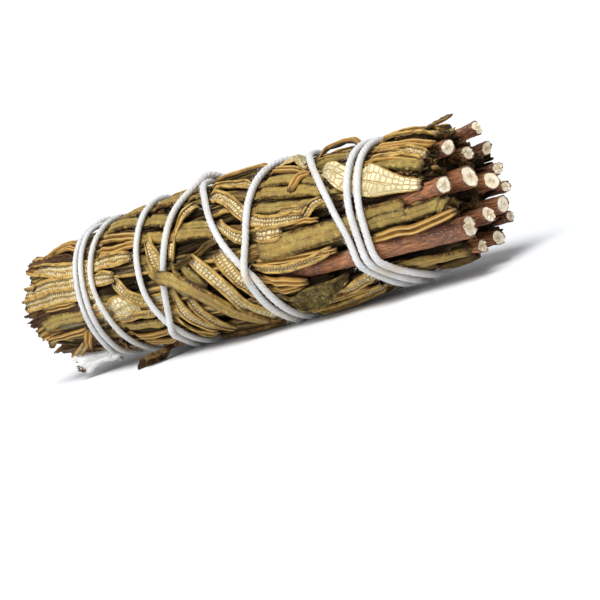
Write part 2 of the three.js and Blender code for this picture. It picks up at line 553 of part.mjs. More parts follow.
// Each pale leaf gives way to the ones before it, and the packed leaves to all of them.
let taken = leaf({ ...looseShape, section: BLOCK, grow: FIT_GAP });
PALE_LEAVES.forEach((one, i) => {
  const whole = leaf({ ...one, section: RIBBED, ends: PALE_ENDS });
  const clear = whole.subtract(taken).subtract(twineRoom).subtract(stemRoom).subtract(ground);
  add(numbered("pale_leaf", i), clear, pale);
  taken = taken.add(leaf({ ...one, section: BLOCK, ends: PALE_ENDS, grow: FIT_GAP }));
});

const draw = drawer(SEED);
const sectionFor = ({ width }) => (width < NARROWEST_STRAP ? TILTED : STRAP);
const packed = wasm.Manifold.union([
  heart(draw),
  ...DARK_LEAVES.map((one) => leaf({ ...one, rooted: true, section: sectionFor(one) })),
  ...backLeaves(draw).map((one) => leaf({ ...one, rooted: true })),
  ...stubs(TIP_STUBS, draw),
  ...stubs(BUTT_STUBS, draw),
]);
add("packed_leaves", packed.subtract(stemRoom).subtract(twineRoom).subtract(taken).subtract(ground), olive);

STEMS.forEach((one, i) => add(numbered("stem", i), stem(one), bark));
add("twine", twine, cotton);

// Stand the stick on the ground, with the origin under its middle.
const box = new THREE.Box3().setFromObject(stick);
stick.position.set(-(box.min.x + box.max.x) / 2, -(box.min.y + box.max.y) / 2, -box.min.z);

export default stick;
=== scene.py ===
"""A dried herb smudge stick: leafy sprigs bound with cotton twine, lying on its side."""

import math

import bpy
import numpy as np
from mathutils import Matrix, Vector
from mathutils.kdtree import KDTree


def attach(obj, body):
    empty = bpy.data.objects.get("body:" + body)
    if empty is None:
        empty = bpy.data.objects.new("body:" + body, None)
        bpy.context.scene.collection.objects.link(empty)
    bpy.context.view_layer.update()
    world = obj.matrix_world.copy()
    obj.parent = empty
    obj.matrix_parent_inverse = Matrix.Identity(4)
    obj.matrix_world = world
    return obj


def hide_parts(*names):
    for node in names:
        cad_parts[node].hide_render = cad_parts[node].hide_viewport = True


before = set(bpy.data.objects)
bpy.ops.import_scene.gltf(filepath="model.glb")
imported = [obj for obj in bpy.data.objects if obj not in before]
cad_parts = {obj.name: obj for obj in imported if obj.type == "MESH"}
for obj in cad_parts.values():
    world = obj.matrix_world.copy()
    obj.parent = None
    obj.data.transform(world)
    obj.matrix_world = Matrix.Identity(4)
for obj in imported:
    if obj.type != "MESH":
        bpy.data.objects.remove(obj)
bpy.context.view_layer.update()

# The photograph looks at the stick's side from a little above, with the butt end nearer. The
# stick leans in it, and here it lies flat, so the camera leans instead.
CENTRE = (1.24, 0.467)
AXIS_HEIGHT = 15.3
ANGLES = (36, 7, -19.6)  # aside, above and leaning
DISTANCE = 0.52  # in metres, as the two shifts
SHIFT_RIGHT = 0.0077
SHIFT_UP = -0.010
LONG_LENS = 160
FULL_FRAME = 36
NEAREST = 0.05
middle = Vector([size / 1000 for size in (*CENTRE, AXIS_HEIGHT)])
aside, above, lean = (math.radians(angle) for angle in ANGLES)
level = Vector((math.cos(aside), math.sin(aside), 0))
back = Vector((math.sin(aside) * math.cos(above), -math.cos(aside) * math.cos(above), math.sin(above)))
upright = back.cross(level)
right = level * math.cos(lean) + upright * math.sin(lean)
up = upright * math.cos(lean) - level * math.sin(lean)
bpy.ops.object.camera_add()
camera = bpy.context.object
camera.rotation_euler = Matrix((right, up, back)).transposed().to_euler()
camera.location = middle + SHIFT_RIGHT * right + SHIFT_UP * up + DISTANCE * back
camera.data.lens = LONG_LENS
camera.data.sensor_width = FULL_FRAME
camera.data.clip_start = NEAREST
bpy.context.scene.camera = camera

# The bound leaves: their girth between the windings, measured by station, the distance from the
# tip end in millimetres. A turn is an angle round the stick: 0 on top, 90 at the front.
LENGTH = 102.5
GIRTH = np.array(
    [(0, 9.8), (6, 11.5), (16, 13), (31, 14.5), (51, 15.2), (70, 14.4), (86, 13.1), (96, 12.4), (102.5, 11.9)]
)


def girth_at(station):
    """The bundle's radius at stations."""
    return np.interp(station, GIRTH[:, 0], GIRTH[:, 1])


def place(station, radius, turn):
    """Points at stations, radii and turns, and the directions outwards there."""
    angle = np.radians(turn)
    out = np.stack([np.zeros_like(angle), -np.sin(angle), np.cos(angle)], -1)
    point = out * np.asarray(radius)[..., None]
    point[..., 0] += station - LENGTH / 2 + CENTRE[0]
    point[..., 1] += CENTRE[1]
    point[..., 2] += AXIS_HEIGHT
    return point, out


def where(point):
    """Stations, radii and turns of points: the other way round."""
    y, z = point[..., 1] - CENTRE[1], point[..., 2] - AXIS_HEIGHT
    station = point[..., 0] + LENGTH / 2 - CENTRE[0]
    return station, np.hypot(y, z), np.degrees(np.arctan2(-y, z))


def along(rows, share):
    """A smooth curve through rows of numbers, at shares of its length from 0 to 1."""
    rows = np.asarray(rows, float)
    last = len(rows) - 1
    i = np.minimum(last - 1, np.floor(share * last).astype(int))
    u = (share * last - i)[:, None]
    p, q, r, s = rows[np.maximum(0, i - 1)], rows[i], rows[i + 1], rows[np.minimum(last, i + 2)]
    return q + u * (r - p + u * (2 * p - 5 * q + 4 * r - s + u * (3 * (q - r) + s - p))) / 2


def smooth(x):
    """A gentle rise from 0 to 1 as x goes from 0 to 1."""
    t = np.clip(x, 0, 1)
    return t * t * (3 - 2 * t)


# The woody stems run inside the bundle and end cut across at the butt end: the thickness there
# and the axis as (station, radius, turn). The windings and the leaves lie over them.
STEMS = [
    (2.6, [(64, 9.6, 321), (84, 10.4, 321), (102.5, 12.3, 326)]),
    (3.0, [(-0.6, 4.6, 20), (40, 7.4, 14), (84, 8.2, 14), (101.5, 9.8, 20)]),
    (2.8, [(44, 6.4, 340), (70, 7.0, 336), (101, 7.3, 333)]),
    (3.5, [(48, 6.8, 82), (78, 9.4, 78), (90, 10.4, 76), (102.4, 11.0, 71)]),
    (4.3, [(-0.9, 1.6, 60), (30, 2.6, 50), (70, 3.2, 40), (103, 3.4, 35)]),
    (2.3, [(60, 9.5, 278), (102, 10.0, 278)]),
    (3.5, [(-0.4, 4.9, 262), (40, 6.4, 266), (102.2, 6.2, 270)]),
    (3.4, [(48, 7.0, 236), (102.5, 8.4, 234)]),
    (3.3, [(-0.7, 5.0, 176), (40, 5.8, 180), (102.8, 5.2, 183)]),
    (4.2, [(46, 8.0, 112), (64, 11.6, 113), (76, 12.3, 112.5), (90, 11.7, 114), (103.4, 9.9, 122)]),
    (2.3, [(84, 10.8, 222), (101.8, 11.8, 229)]),
    (2.3, [(66, 8.0, 150), (84, 9.2, 148), (102.6, 11.0, 153)]),
    (2.8, [(58, 7.8, 202), (84, 8.8, 200), (101, 11.0, 200)]),
    (2.3, [(76, 8.4, 254), (101.5, 11.5, 258)]),
    (2.5, [(62, 7.8, 300), (84, 9.0, 300), (101.2, 11.3, 300)]),
]
FAR_OUT = 99.0  # further than anything reaches


def over_stems(station, turn, margin):
    """How far out the stems reach, swollen by a margin, and the radius of their axes there."""
    reach, axis = np.zeros(np.shape(station)), np.full(np.shape(station), FAR_OUT)
    for width, path in STEMS:
        share = (station - path[0][0]) / (path[-1][0] - path[0][0])
        inside = (share >= 0) & (share <= 1)
        _, radius, at = along(path, np.clip(share, 0, 1).ravel()).T.reshape(3, *np.shape(station))
        sideways = radius * np.sin(np.radians(turn - at))
        depth = (width / 2 + margin) ** 2 - sideways**2
        inside &= (depth > 0) & (np.cos(np.radians(turn - at)) > 0)
        top = radius * np.cos(np.radians(turn - at)) + np.sqrt(np.maximum(0, depth))
        axis = np.where(inside & (top > reach), radius, axis)
        reach = np.where(inside, np.maximum(reach, top), reach)
    return reach, axis


# The binding is one length of white cotton twine, laid from three plies. It starts at a knot at
# the tip end and winds to the butt end and back over itself to the knot.
ROUTE = np.array(
    [
        (165, 11.2), (270, 13.0), (366, 14.5), (400, 15.7), (440, 16.4), (485, 15.9), (520, 14.9),
        (630, 16.8), (720, 19.4), (786, 18.9), (820, 20.0), (850, 20.9), (880, 22.2), (990, 27.0),
        (1080, 31.5), (1134, 32.2), (1169, 32.2), (1196, 33.3), (1215, 34.6), (1240, 36.0), (1340, 39.8),
        (1440, 44.4), (1476, 49.3), (1509, 53.5), (1531, 56.9), (1545, 58.9), (1570, 59.9), (1600, 60.8),
        (1700, 65.0), (1800, 70.0), (1820, 72.8), (1844, 76.5), (1866, 79.2), (1894, 81.3), (1920, 82.0),
        (1960, 83.6), (2060, 84.6), (2160, 84.5), (2220, 85.1), (2259, 85.3), (2288, 86.5), (2320, 89.6),
        (2420, 88.0), (2520, 82.2), (2560, 82.7), (2620, 83.4), (2650, 84.4), (2680, 86.2), (2780, 75.0),
        (2880, 62.0), (2913, 60.7), (2948, 59.8), (2975, 58.0), (3000, 57.3), (3030, 58.0), (3060, 57.4),
        (3150, 51.0), (3240, 43.6), (3275, 41.0), (3309, 39.2), (3334, 37.2), (3355, 35.2), (3370, 33.6),
        (3390, 32.6), (3510, 24.5), (3600, 12.8), (3640, 14.0), (3680, 14.7), (3725, 14.1), (3747, 12.6),
        (3768, 11.0),
    ]
)
TWINE = 1.6
TWINE_LIFT = 0.45
TWINE_STEP = 4
STEM_CLEAR = 0.3
CROSSING_RISE = 1.3
PULLS = 30
LEAST_DOWN = 0.1  # a direction that points down less than this doesn't meet the ground


def route_station(turn):
    """Stations of the route, on a curve that doesn't overshoot its points."""
    slope = np.diff(ROUTE[:, 1]) / np.diff(ROUTE[:, 0])
    before, after = slope[:-1], slope[1:]
    turning = before * after <= 0
    inner = np.where(turning, 0, 2 * before * after / np.where(turning, 1, before + after))
    tangent = np.concatenate([slope[:1], inner, slope[-1:]])
    k = np.clip(np.searchsorted(ROUTE[:, 0], turn, "right") - 1, 0, len(slope) - 1)
    span = ROUTE[k + 1, 0] - ROUTE[k, 0]
    u = (turn - ROUTE[k, 0]) / span
    bend = span * (u * (1 - u) ** 2 * tangent[k] - u * u * (1 - u) * tangent[k + 1])
    return (1 + 2 * u) * (1 - u) ** 2 * ROUTE[k, 1] + u * u * (3 - 2 * u) * ROUTE[k + 1, 1] + bend


def apart_from(station, turn, radius, one, two):
    """Distances on the surface between places and the stretches of twine from one to two."""
    x, y = one[0] - station, np.radians((one[1] - turn + 180) % 360 - 180) * radius
    dx, dy = two[0] - one[0], np.radians(two[1] - one[1]) * radius
    share = np.clip(-(x * dx + y * dy) / (dx * dx + dy * dy), 0, 1)
    return np.hypot(x + share * dx, y + share * dy)


def ground_radius(turn, clearance):
    """How far out the ground is at each turn, less a clearance."""
    down = -np.cos(np.radians(turn))
    reach = (AXIS_HEIGHT - clearance) / np.maximum(down, LEAST_DOWN)
    return np.where(down > LEAST_DOWN, reach, FAR_OUT)


def wind():
    """Stations, turns and radii of the twine's middle, pulled taut over all that it crosses."""
    turn = np.arange(ROUTE[0, 0], ROUTE[-1, 0] + TWINE_STEP, TWINE_STEP)
    station = route_station(turn)
    over_wood = over_stems(station, turn, TWINE / 2 + STEM_CLEAR)[0]
    radius = np.maximum(girth_at(station) + TWINE_LIFT, over_wood)
    floor = ground_radius(turn, TWINE / 2)
    rows = np.stack([station, turn])
    for i in range(len(turn)):
        radius[i] = min(radius[i], floor[i])
        j = i - 180 // TWINE_STEP
        if j > 1:
            apart = apart_from(station[i], turn[i], radius[i], rows[:, : j - 1], rows[:, 1:j])
            rise = np.sqrt(np.maximum(0, CROSSING_RISE**2 - apart**2))
            over = np.where(rise > 0, (radius[: j - 1] + radius[1:j]) / 2 + rise, 0)
            radius[i] = max(radius[i], over.max())
    for _ in range(PULLS):
        taut = (radius[:-2] + radius[2:]) / 2 * math.cos(math.radians(TWINE_STEP))
        radius[1:-1] = np.minimum(np.maximum(radius[1:-1], taut), floor[1:-1])
    return station, turn, radius


windings = wind()


def blank(columns, rings):
    """A plain sheet of a grid's faces, to be shaped."""
    bpy.ops.object.select_all(action="DESELECT")
    bpy.ops.mesh.primitive_grid_add(x_subdivisions=columns - 1, y_subdivisions=rings - 1, size=1)
    return bpy.context.object


def shape(sheet, points, uv, dye_and_shade=None):
    """Bends a sheet to points in millimetres, one row of them to a ring, with its own UVs and its dye and
    painted shade.
    """
    mesh = sheet.data
    mesh.vertices.foreach_set("co", (points.reshape(-1, 3) / 1000).ravel())
    corner = np.empty(len(mesh.loops), np.int32)
    mesh.loops.foreach_get("vertex_index", corner)
    mesh.uv_layers[0].data.foreach_set("uv", uv.reshape(-1, 2)[corner].ravel())
    if dye_and_shade is not None:
        # The colour layer holds the dye and, on leaves, their painted shade.
        stain_and_shade = mesh.color_attributes.new("dye_and_shade", "FLOAT_COLOR", "POINT")
        stain_and_shade.data.foreach_set("color", dye_and_shade.astype(np.float32).reshape(-1, 4).ravel())
    mesh.update()
    return sheet


def copies(sheet, shapes):
    """Copies of one sheet, each with a mesh and a shape of its own."""
    made = []
    for one in shapes:
        copy = sheet.copy()
        copy.data = sheet.data.copy()
        bpy.context.collection.objects.link(copy)
        made.append(shape(copy, *one))
    bpy.data.objects.remove(sheet)
    return made


def gather(name, pieces):
    """Joins pieces into one that is closed where its edges meet."""
    bpy.ops.object.select_all(action="DESELECT")
    for one in pieces:
        one.select_set(True)
    bpy.context.view_layer.objects.active = pieces[0]
    if len(pieces) > 1:
        bpy.ops.object.join()
    joined = bpy.context.object
    joined.name = joined.data.name = name
    bpy.ops.object.mode_set(mode="EDIT")
    bpy.ops.mesh.select_all(action="SELECT")
    bpy.ops.mesh.remove_doubles(threshold=1e-7)
    bpy.ops.object.mode_set(mode="OBJECT")
    return joined


def frames(path, out):
    """Two directions across a path at each point: outwards, and to the side."""
    step = np.gradient(path, axis=0)
    heading = step / np.linalg.norm(step, axis=-1, keepdims=True)
    up_from = out - heading * (out * heading).sum(-1, keepdims=True)
    up_from /= np.linalg.norm(up_from, axis=-1, keepdims=True)
    return up_from, np.cross(heading, up_from)


def spokes(angle, up_from, side):
    """Directions from a line to the sides of a tube round it."""
    return np.cos(angle)[..., None] * up_from[..., None, :] + np.sin(angle)[..., None] * side[..., None, :]


def grid_uv(across, length):
    """The UVs of a tube or a sheet: places across it, and one along it for each ring."""
    return np.stack(np.broadcast_arrays(across[None], length[:, None]), -1)


PLY_PITCH = 3.3
PLY_GROOVE = 0.06
PLY_SIDES = 12  # four to each of the three plies
TWINE_RING = 0.33
LUMP_SPACING = 5
LUMP_SWELL = 0.035
LUMP_TWIST = 0.5
cotton_draw = np.random.default_rng(20417)


def evenly(rows, spacing):
    """Rows of points resampled at even distances, and how far along each one is."""
    reach = np.concatenate([[0], np.cumsum(np.linalg.norm(np.diff(rows[:, :3], axis=0), axis=-1))])
    at = np.linspace(0, reach[-1], round(reach[-1] / spacing))
    return np.stack([np.interp(at, reach, column) for column in rows.T], -1), at


def lay_plies(line, out, width):
    """The shape of three plies twisted round a line: the sides follow the plies."""
    rows, at = evenly(np.hstack([line, out, width[:, None]]), TWINE_RING)
    line, out, width = rows[:, :3], rows[:, 3:6], rows[:, 6:]
    up_from, side = frames(line, out)
    lumps = np.arange(0, at[-1] + LUMP_SPACING, LUMP_SPACING)
    uneven = np.interp(at, lumps, cotton_draw.normal(0, 1, len(lumps)))
    angle = np.linspace(0, 2 * math.pi, PLY_SIDES + 1)
    twist = -2 * math.pi * at / PLY_PITCH + LUMP_TWIST * uneven
    swollen = width / 2 * (1 + LUMP_SWELL * uneven[:, None])
    radius = swollen - PLY_GROOVE * (1 - np.cos(3 * angle)) * width / 2
    radius[[0, -1]] = 0
    points = line[:, None] + radius[..., None] * spokes(angle[None] + twist[:, None], up_from, side)
    points[:, -1] = points[:, 0]
    return points, grid_uv(3 * angle / (2 * math.pi), at)


twine_line, twine_out = place(windings[0], windings[2], windings[1])
# It is pulled thinner where it was wound tightest, at the tip end.
drawn = np.interp(windings[0], (25, 50), (1.15, 1.45))
laid = lay_plies(twine_line, twine_out, drawn)
twine = gather("laid_twine", copies(blank(PLY_SIDES + 1, len(laid[0])), [laid]))
bpy.ops.object.shade_smooth()


class Dye:
    """A socket in a material. Sums and products of sockets add its Math nodes."""

    def __init__(self, tree, socket=None):
        self.tree = tree
        self.socket = socket

    def node(self, kind, inputs=None, out=0, **settings):
        """Adds a node with its inputs and settings, and gives its output."""
        made = self.tree.nodes.new("ShaderNode" + kind)
        for name, value in settings.items():
            setattr(made, name, value)
        for key, value in (inputs or {}).items():
            if isinstance(value, Dye):
                self.tree.links.new(value.socket, made.inputs[key])
            else:
                made.inputs[key].default_value = value
        return Dye(self.tree, made.outputs[out])

    def maths(self, operation, *values, clamp=False):
        return self.node("Math", dict(enumerate(values)), operation=operation, use_clamp=clamp)

    def __add__(self, other):
        return self.maths("ADD", self, other)

    __radd__ = __add__

    def __sub__(self, other):
        return self.maths("SUBTRACT", self, other)

    def __rsub__(self, other):
        return self.maths("SUBTRACT", other, self)

    def __mul__(self, other):
        return self.maths("MULTIPLY", self, other)

    __rmul__ = __mul__

    def clamped(self):
        """The same, held between 0 and 1."""
        return self.maths("ADD", self, 0, clamp=True)

    def between(self, low, high):
        """0 below low, 1 above high and smooth in between. It falls if low is the larger."""
        return self.node("MapRange", {0: self, 1: low, 2: high}, interpolation_type="SMOOTHSTEP")

    def over(self, under, top):
        """One colour laid over another, as far as this mask says."""
        under, top = ((*each, 1) if isinstance(each, tuple) else each for each in (under, top))
        return self.node("Mix", {0: self, 6: under, 7: top}, out=2, data_type="RGBA")


def material(name):
    """A new material, with the sockets that patterns read, and a call that ends it."""
    made = bpy.data.materials.new(name)
    made.use_nodes = True
    tree = made.node_tree
    shader = tree.nodes["Principled BSDF"]
    base = Dye(tree)
    spot = base.node("TexCoord", out=3)
    flat = base.node("TexCoord", out=2)

    def end(colour, roughness, height, depth, **constants):
        bump = base.node("Bump", {"Height": height, "Strength": 1.0, "Distance": depth})
        tree.links.new(colour.socket, shader.inputs["Base Color"])
        if isinstance(roughness, Dye):
            tree.links.new(roughness.socket, shader.inputs["Roughness"])
        else:
            shader.inputs["Roughness"].default_value = roughness
        tree.links.new(bump.socket, shader.inputs["Normal"])
        for key, value in constants.items():
            shader.inputs[key.replace("_", " ")].default_value = value
        return made

    return base, spot, flat, end


def noise(vector, scale, detail=4, roughness=0.55):
    """Cloudy noise around one half."""
    inputs = {"Vector": vector, "Scale": scale, "Detail": detail, "Roughness": roughness}
    return vector.node("TexNoise", inputs)


def stretched(flat, across, length):
    """UVs scaled apart across and along a strip."""
    return flat.node("Mapping", {"Vector": flat, "Scale": (across, length, 1)})


# The cotton is off-white and stained by the leaves here and there, with painted shade greying it between its
# plies.
base, spot, flat, end = material("cotton")
slant = flat.node("Mapping", {"Vector": flat, "Rotation": (0, 0, 0.5), "Scale": (4.5, 0.9, 1)})
strand = noise(slant, 1.8, 3)
tinge = noise(spot, 90, 3)
ply = flat.node("SeparateXYZ", {0: flat})
painted_ply_shade = base.maths("ABSOLUTE", base.maths("FRACT", ply) - 0.5).between(0.26, 0.02)
colour = tinge.between(0.35, 0.75).over((0.68, 0.67, 0.65), (0.76, 0.765, 0.77))
stain_and_shade = noise(spot, 70, 3)
colour = (stain_and_shade.between(0.56, 0.72) * 0.5).over(colour, (0.66, 0.52, 0.27))
colour = (strand.between(0.5, 0.28) * 0.45).over(colour, (0.62, 0.60, 0.57))
# Painted shade in the grooves between the plies.
colour = (painted_ply_shade * 0.3).over(colour, (0.62, 0.60, 0.57))
cotton = end(colour, 0.9, strand, 0.00022, Specular_IOR_Level=0.2, Sheen_Weight=0.25)
twine.data.materials.append(cotton)
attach(twine, "root")
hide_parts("twine")

# Loose cotton fibres stand off the twine all along, as fine curls from a third of a millimetre to
# one and a half long. Each is a thin tube that starts just under the surface of the plies.
FIBRES = 4800
FIBRE_SHORTEST = 0.35
FIBRE_SPREAD = 0.4
FIBRE_LONGEST = 1.5
FIBRE_RADIUS = 0.018
FIBRE_HEIGHTS = (0.03, 32.8)  # lowest and highest
FIBRE_RINGS = 6
FIBRE_SIDES = 3
FIBRE_SPACING = 0.5
CURL = 0.35
WIDEST_LEAN = 1.3
ROOT = 0.45  # how far out from the twine's middle a fibre starts, as a share of its thickness


def thin_tube(line, up_from, side, radius, length):
    """A three-sided tube round a line, pointed at both ends, and its UVs."""
    share = np.linspace(0, 1, len(line))
    angle = np.linspace(0, 2 * math.pi, FIBRE_SIDES + 1)
    thick = radius * np.minimum(1, 4 * np.minimum(share, 1 - share) + 0.02)
    points = line[:, None] + spokes(angle, up_from, side) * thick[:, None, None]
    points[:, -1] = points[:, 0]
    return points, grid_uv(0 * angle, share * length)


def fibre(start, heading, out, length):
    """One curled fibre."""
    share = np.linspace(0, 1, FIBRE_RINGS)[:, None]
    ways = cotton_draw.normal(0, CURL, (3, 3))
    bend = share * (heading + ways[0]) + share**2 * (0.3 * out + ways[1]) + share**3 * ways[2] * 0.6
    return thin_tube(start + length * bend, out, np.cross(heading, out), FIBRE_RADIUS, length)


along_twine, _ = evenly(np.hstack([twine_line, twine_out, drawn[:, None]]), FIBRE_SPACING)
fibres = []
for i in cotton_draw.integers(1, len(along_twine) - 1, FIBRES):
    heading = along_twine[i + 1, :3] - along_twine[i, :3]
    heading /= np.linalg.norm(heading)
    out = along_twine[i, 3:6]
    lean = cotton_draw.uniform(-WIDEST_LEAN, WIDEST_LEAN)
    away = out * math.cos(lean) + np.cross(heading, out) * math.sin(lean)
    start = along_twine[i, :3] + away * along_twine[i, 6] * ROOT
    heading = heading * cotton_draw.choice([-1, 1])
    length = min(FIBRE_SHORTEST + cotton_draw.exponential(FIBRE_SPREAD), FIBRE_LONGEST)
    points, uv = fibre(start, heading, away, length)
    points[..., 2] = np.clip(points[..., 2], *FIBRE_HEIGHTS)
    fibres.append((points, uv))
fuzz = gather("twine_fibres", copies(blank(FIBRE_SIDES + 1, FIBRE_RINGS), fibres))
fuzz.data.materials.append(cotton)
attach(fuzz, "root")
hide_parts("twine")

# The knot is an overhand one by the tip end, and its tail is frayed into a soft white fan that
# hangs nearly to the ground: a folded body of wool with strands laid over it.
KNOT_SIZE = (1.0, 0.9, 0.7)
KNOT_TURN = 156
KNOT_STATION = 11.2
KNOT_TWINE = 1.35
KNOT_POINTS = 60
TAIL = [  # station, y, height above the ground and half the fan's height
    (12.8, -4.6, 3.0, 0.9), (11.0, -5.6, 3.3, 1.25), (9.4, -6.6, 3.5, 1.05), (7.2, -7.5, 3.4, 1.6),
    (4.9, -8.4, 3.1, 2.3),
]
TAIL_FIBRES = 700
TAIL_RADIUS = 0.05
TAIL_RINGS = 12
TAIL_LOWEST = 0.1
FLUFF_SIDES = 33
FLUFF_RINGS = 30
FLUFF_LOWEST = 0.05
FAN_DEPTH = 1.25  # half of it, at the knot
FAN_THINNING = 0.6
FAN_WAVE = 0.5
FAN_UV = 9
share = np.linspace(0, 2 * math.pi, KNOT_POINTS)
knot_height = girth_at(KNOT_STATION) + 2 * TWINE_LIFT
knot_at, _ = place(np.array(KNOT_STATION), knot_height, np.array(KNOT_TURN))
loop = np.stack([
    (np.sin(share) + 2 * np.sin(2 * share)) / 3 * KNOT_SIZE[0],
    (np.cos(share) - 2 * np.cos(2 * share)) / 3 * KNOT_SIZE[1],
    -np.sin(3 * share) / 3 * 2 * KNOT_SIZE[2],
], -1)
loop_out = loop / np.linalg.norm(loop, axis=-1, keepdims=True)
knot_shape = lay_plies(knot_at + loop, loop_out, np.full(KNOT_POINTS, KNOT_TWINE))
knot = gather("knot", copies(blank(PLY_SIDES + 1, len(knot_shape[0])), [knot_shape]))
bpy.ops.object.shade_smooth()
knot.data.materials.append(cotton)
tail = np.array([(s - LENGTH / 2 + CENTRE[0], y + CENTRE[1], z, half) for s, y, z, half in TAIL])
upwards = np.array([0.0, 0, 1])


def fan_depth(share):
    """Half the fan's depth at shares of its length."""
    return FAN_DEPTH - FAN_THINNING * share


def fan_wave(height, share):
    """How far the fan waves to the side, at heights from its middle and shares of its length."""
    return FAN_WAVE * np.sin(height * 1.6 + 4 * share) * share


share = np.linspace(0, 1, FLUFF_RINGS)
row = along(tail, share)
up_from, side = frames(row[:, :3], np.tile(upwards, (FLUFF_RINGS, 1)))
angle = np.linspace(0, 2 * math.pi, FLUFF_SIDES)
folds = 1 + 0.10 * np.sin(angle * 3 + 1)[None] + 0.07 * np.sin(angle * 7)[None] * np.cos(share * 6)[:, None]
folds = folds * np.sqrt(np.clip(np.minimum(share * 9, (1 - share) * 14), 0, 1))[:, None]
high = (np.cos(angle) * folds * row[:, 3, None])[..., None] * up_from[:, None]
deep = (np.sin(angle) * folds * fan_depth(share[:, None]))[..., None] * side[:, None]
wave = fan_wave(high[..., 2], share[:, None])
wool = row[:, None, :3] + high + deep + wave[..., None] * side[:, None]
wool[..., 2] = np.maximum(wool[..., 2], FLUFF_LOWEST)
wool[:, -1] = wool[:, 0]
fluff_shape = (wool, grid_uv(angle / 7, FAN_UV * share))

strands = []
share = np.linspace(0, 1, TAIL_RINGS)
for _ in range(TAIL_FIBRES):
    reach = cotton_draw.uniform(0.1, 0.8) + share * cotton_draw.uniform(0.15, 0.35)
    row = along(tail, np.minimum(reach, 1))
    beyond = np.maximum(reach - 1, 0)[:, None] * (tail[-1, :3] - tail[-2, :3]) * (len(TAIL) - 1)
    level = cotton_draw.uniform(-1, 1) + cotton_draw.normal(0, 0.18) * share**2
    bulge = np.sqrt(np.maximum(0, 1 - level**2)) * fan_depth(np.minimum(reach, 1)) + TAIL_RADIUS
    curl = 0.12 * np.sin(share * cotton_draw.uniform(3, 9) + cotton_draw.uniform(0, 6)) * share
    up_from, side = frames(row[:, :3] + share[:, None] * 1e-4, np.tile(upwards, (TAIL_RINGS, 1)))
    wave = fan_wave(level * row[:, 3], reach)
    line = row[:, :3] + beyond + (level * row[:, 3] + curl)[:, None] * up_from
    line += (wave + curl + bulge * cotton_draw.choice([-1, 1]))[:, None] * side
    line[:, 2] = np.maximum(line[:, 2], TAIL_LOWEST)
    strands.append(thin_tube(line, up_from, side, TAIL_RADIUS, FAN_UV))
tufts = copies(blank(FIBRE_SIDES + 1, TAIL_RINGS), strands)
tufts += copies(blank(FLUFF_SIDES, FLUFF_RINGS), [fluff_shape])
tuft = gather("frayed_tail", tufts)
bpy.ops.object.shade_smooth()
base, spot, flat, end = material("wool")
wisps = noise(spot, 700, 4)
colour = wisps.between(0.3, 0.6).over((0.86, 0.85, 0.81), (0.96, 0.96, 0.94))
tuft.data.materials.append(end(colour, 1.0, wisps, 0.00012, Specular_IOR_Level=0.1, Sheen_Weight=0.4))
for piece in (knot, tuft):
    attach(piece, "root")
    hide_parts("twine")


# Leaves are narrow and leathery. Each is one sheet shaped along its line of (station, turn,
# height above the girth), with the section of its kind; the windings hold it down.
PRESS_GAP = 0.12
PRESSED_REACH = 0.95
PRESSED_RISE = 2.4
TWINE_NEAR = 5
DRAPE_GAP = 0.1
GROUND_GAP = 0.35
SECTIONS = {  # half a section from the midrib out: across, height and place in the half
    "netted": [
        (0, 0.30, 0), (0.12, 0.12, 0.12), (0.32, 0.02, 0.30), (0.56, 0.0, 0.50), (0.80, 0.04, 0.70),
        (0.96, 0.16, 0.82), (1.0, 0.34, 0.90), (0.88, 0.44, 0.96), (0.76, 0.34, 1.0),
    ],
    "smooth": [
        (0, 0.09, 0), (0.10, 0.13, 0.10), (0.40, 0.15, 0.38), (0.68, 0.09, 0.64), (0.89, -0.06, 0.84),
        (0.98, -0.34, 0.93), (0.92, -0.60, 1.0),
    ],
    "folded": [
        (0, 0.16, 0), (0.13, -0.04, 0.15), (0.30, 0.26, 0.32), (0.56, 0.40, 0.56), (0.82, 0.20, 0.80),
        (0.98, -0.20, 0.92), (0.92, -0.62, 1.0),
    ],
    "open": [
        (0, 0.13, 0), (0.06, 0.06, 0.06), (0.28, 0.10, 0.28), (0.52, 0.06, 0.52), (0.76, 0.0, 0.76),
        (0.94, 0.02, 0.94), (1.0, 0.12, 1.0),
    ],
    "shrivelled": [
        (0, 0.34, 0), (0.30, -0.06, 0.3), (0.55, 0.16, 0.55), (0.82, -0.05, 0.8), (1.0, 0.30, 1.0),
    ],
    "trough": [
        (0, -0.10, 0), (0.34, -0.04, 0.3), (0.66, 0.10, 0.55), (0.88, 0.36, 0.75), (0.98, 0.66, 0.9),
        (0.94, 0.86, 1.0),
    ],
}


def press(points):
    """Holds leaves in under the windings."""
    station, radius, turn = where(points)
    wound_at, wound_turn, wound_radius = windings
    near = (wound_at[1:] > station.min() - TWINE_NEAR) & (wound_at[:-1] < station.max() + TWINE_NEAR)
    allowed = radius.copy()
    for i in np.nonzero(near)[0]:
        one, two = (wound_at[i], wound_turn[i]), (wound_at[i + 1], wound_turn[i + 1])
        apart = apart_from(station, turn, radius, one, two)
        under = min(wound_radius[i], wound_radius[i + 1]) - TWINE / 2 - PRESS_GAP
        limit = under + np.maximum(0, radius - under) * smooth((apart - PRESSED_REACH) / PRESSED_RISE)
        allowed = np.where(apart < PRESSED_REACH + PRESSED_RISE, np.minimum(allowed, limit), allowed)
    return place(station, allowed, turn)[0]


def drape(points):
    """Lifts leaves over the stems that they cross."""
    station, radius, turn = where(points)
    reach, axis = over_stems(station, turn, DRAPE_GAP)
    return place(station, np.where((reach > radius) & (radius > axis), reach, radius), turn)[0]


def ground(points):
    """Presses leaves flat where they would reach below the ground."""
    station, radius, turn = where(points)
    return place(station, np.minimum(radius, ground_radius(turn, GROUND_GAP)), turn)[0]


GIVE_REACH = 0.5
GIVE_GAP = 0.45


def unrolled(station, turn):
    """Places on the bundle as if it were unrolled flat."""
    across = np.radians((turn + 180) % 360 - 180) * GIRTH[:, 1].max()
    return np.stack([station, across, np.zeros_like(station)], -1)


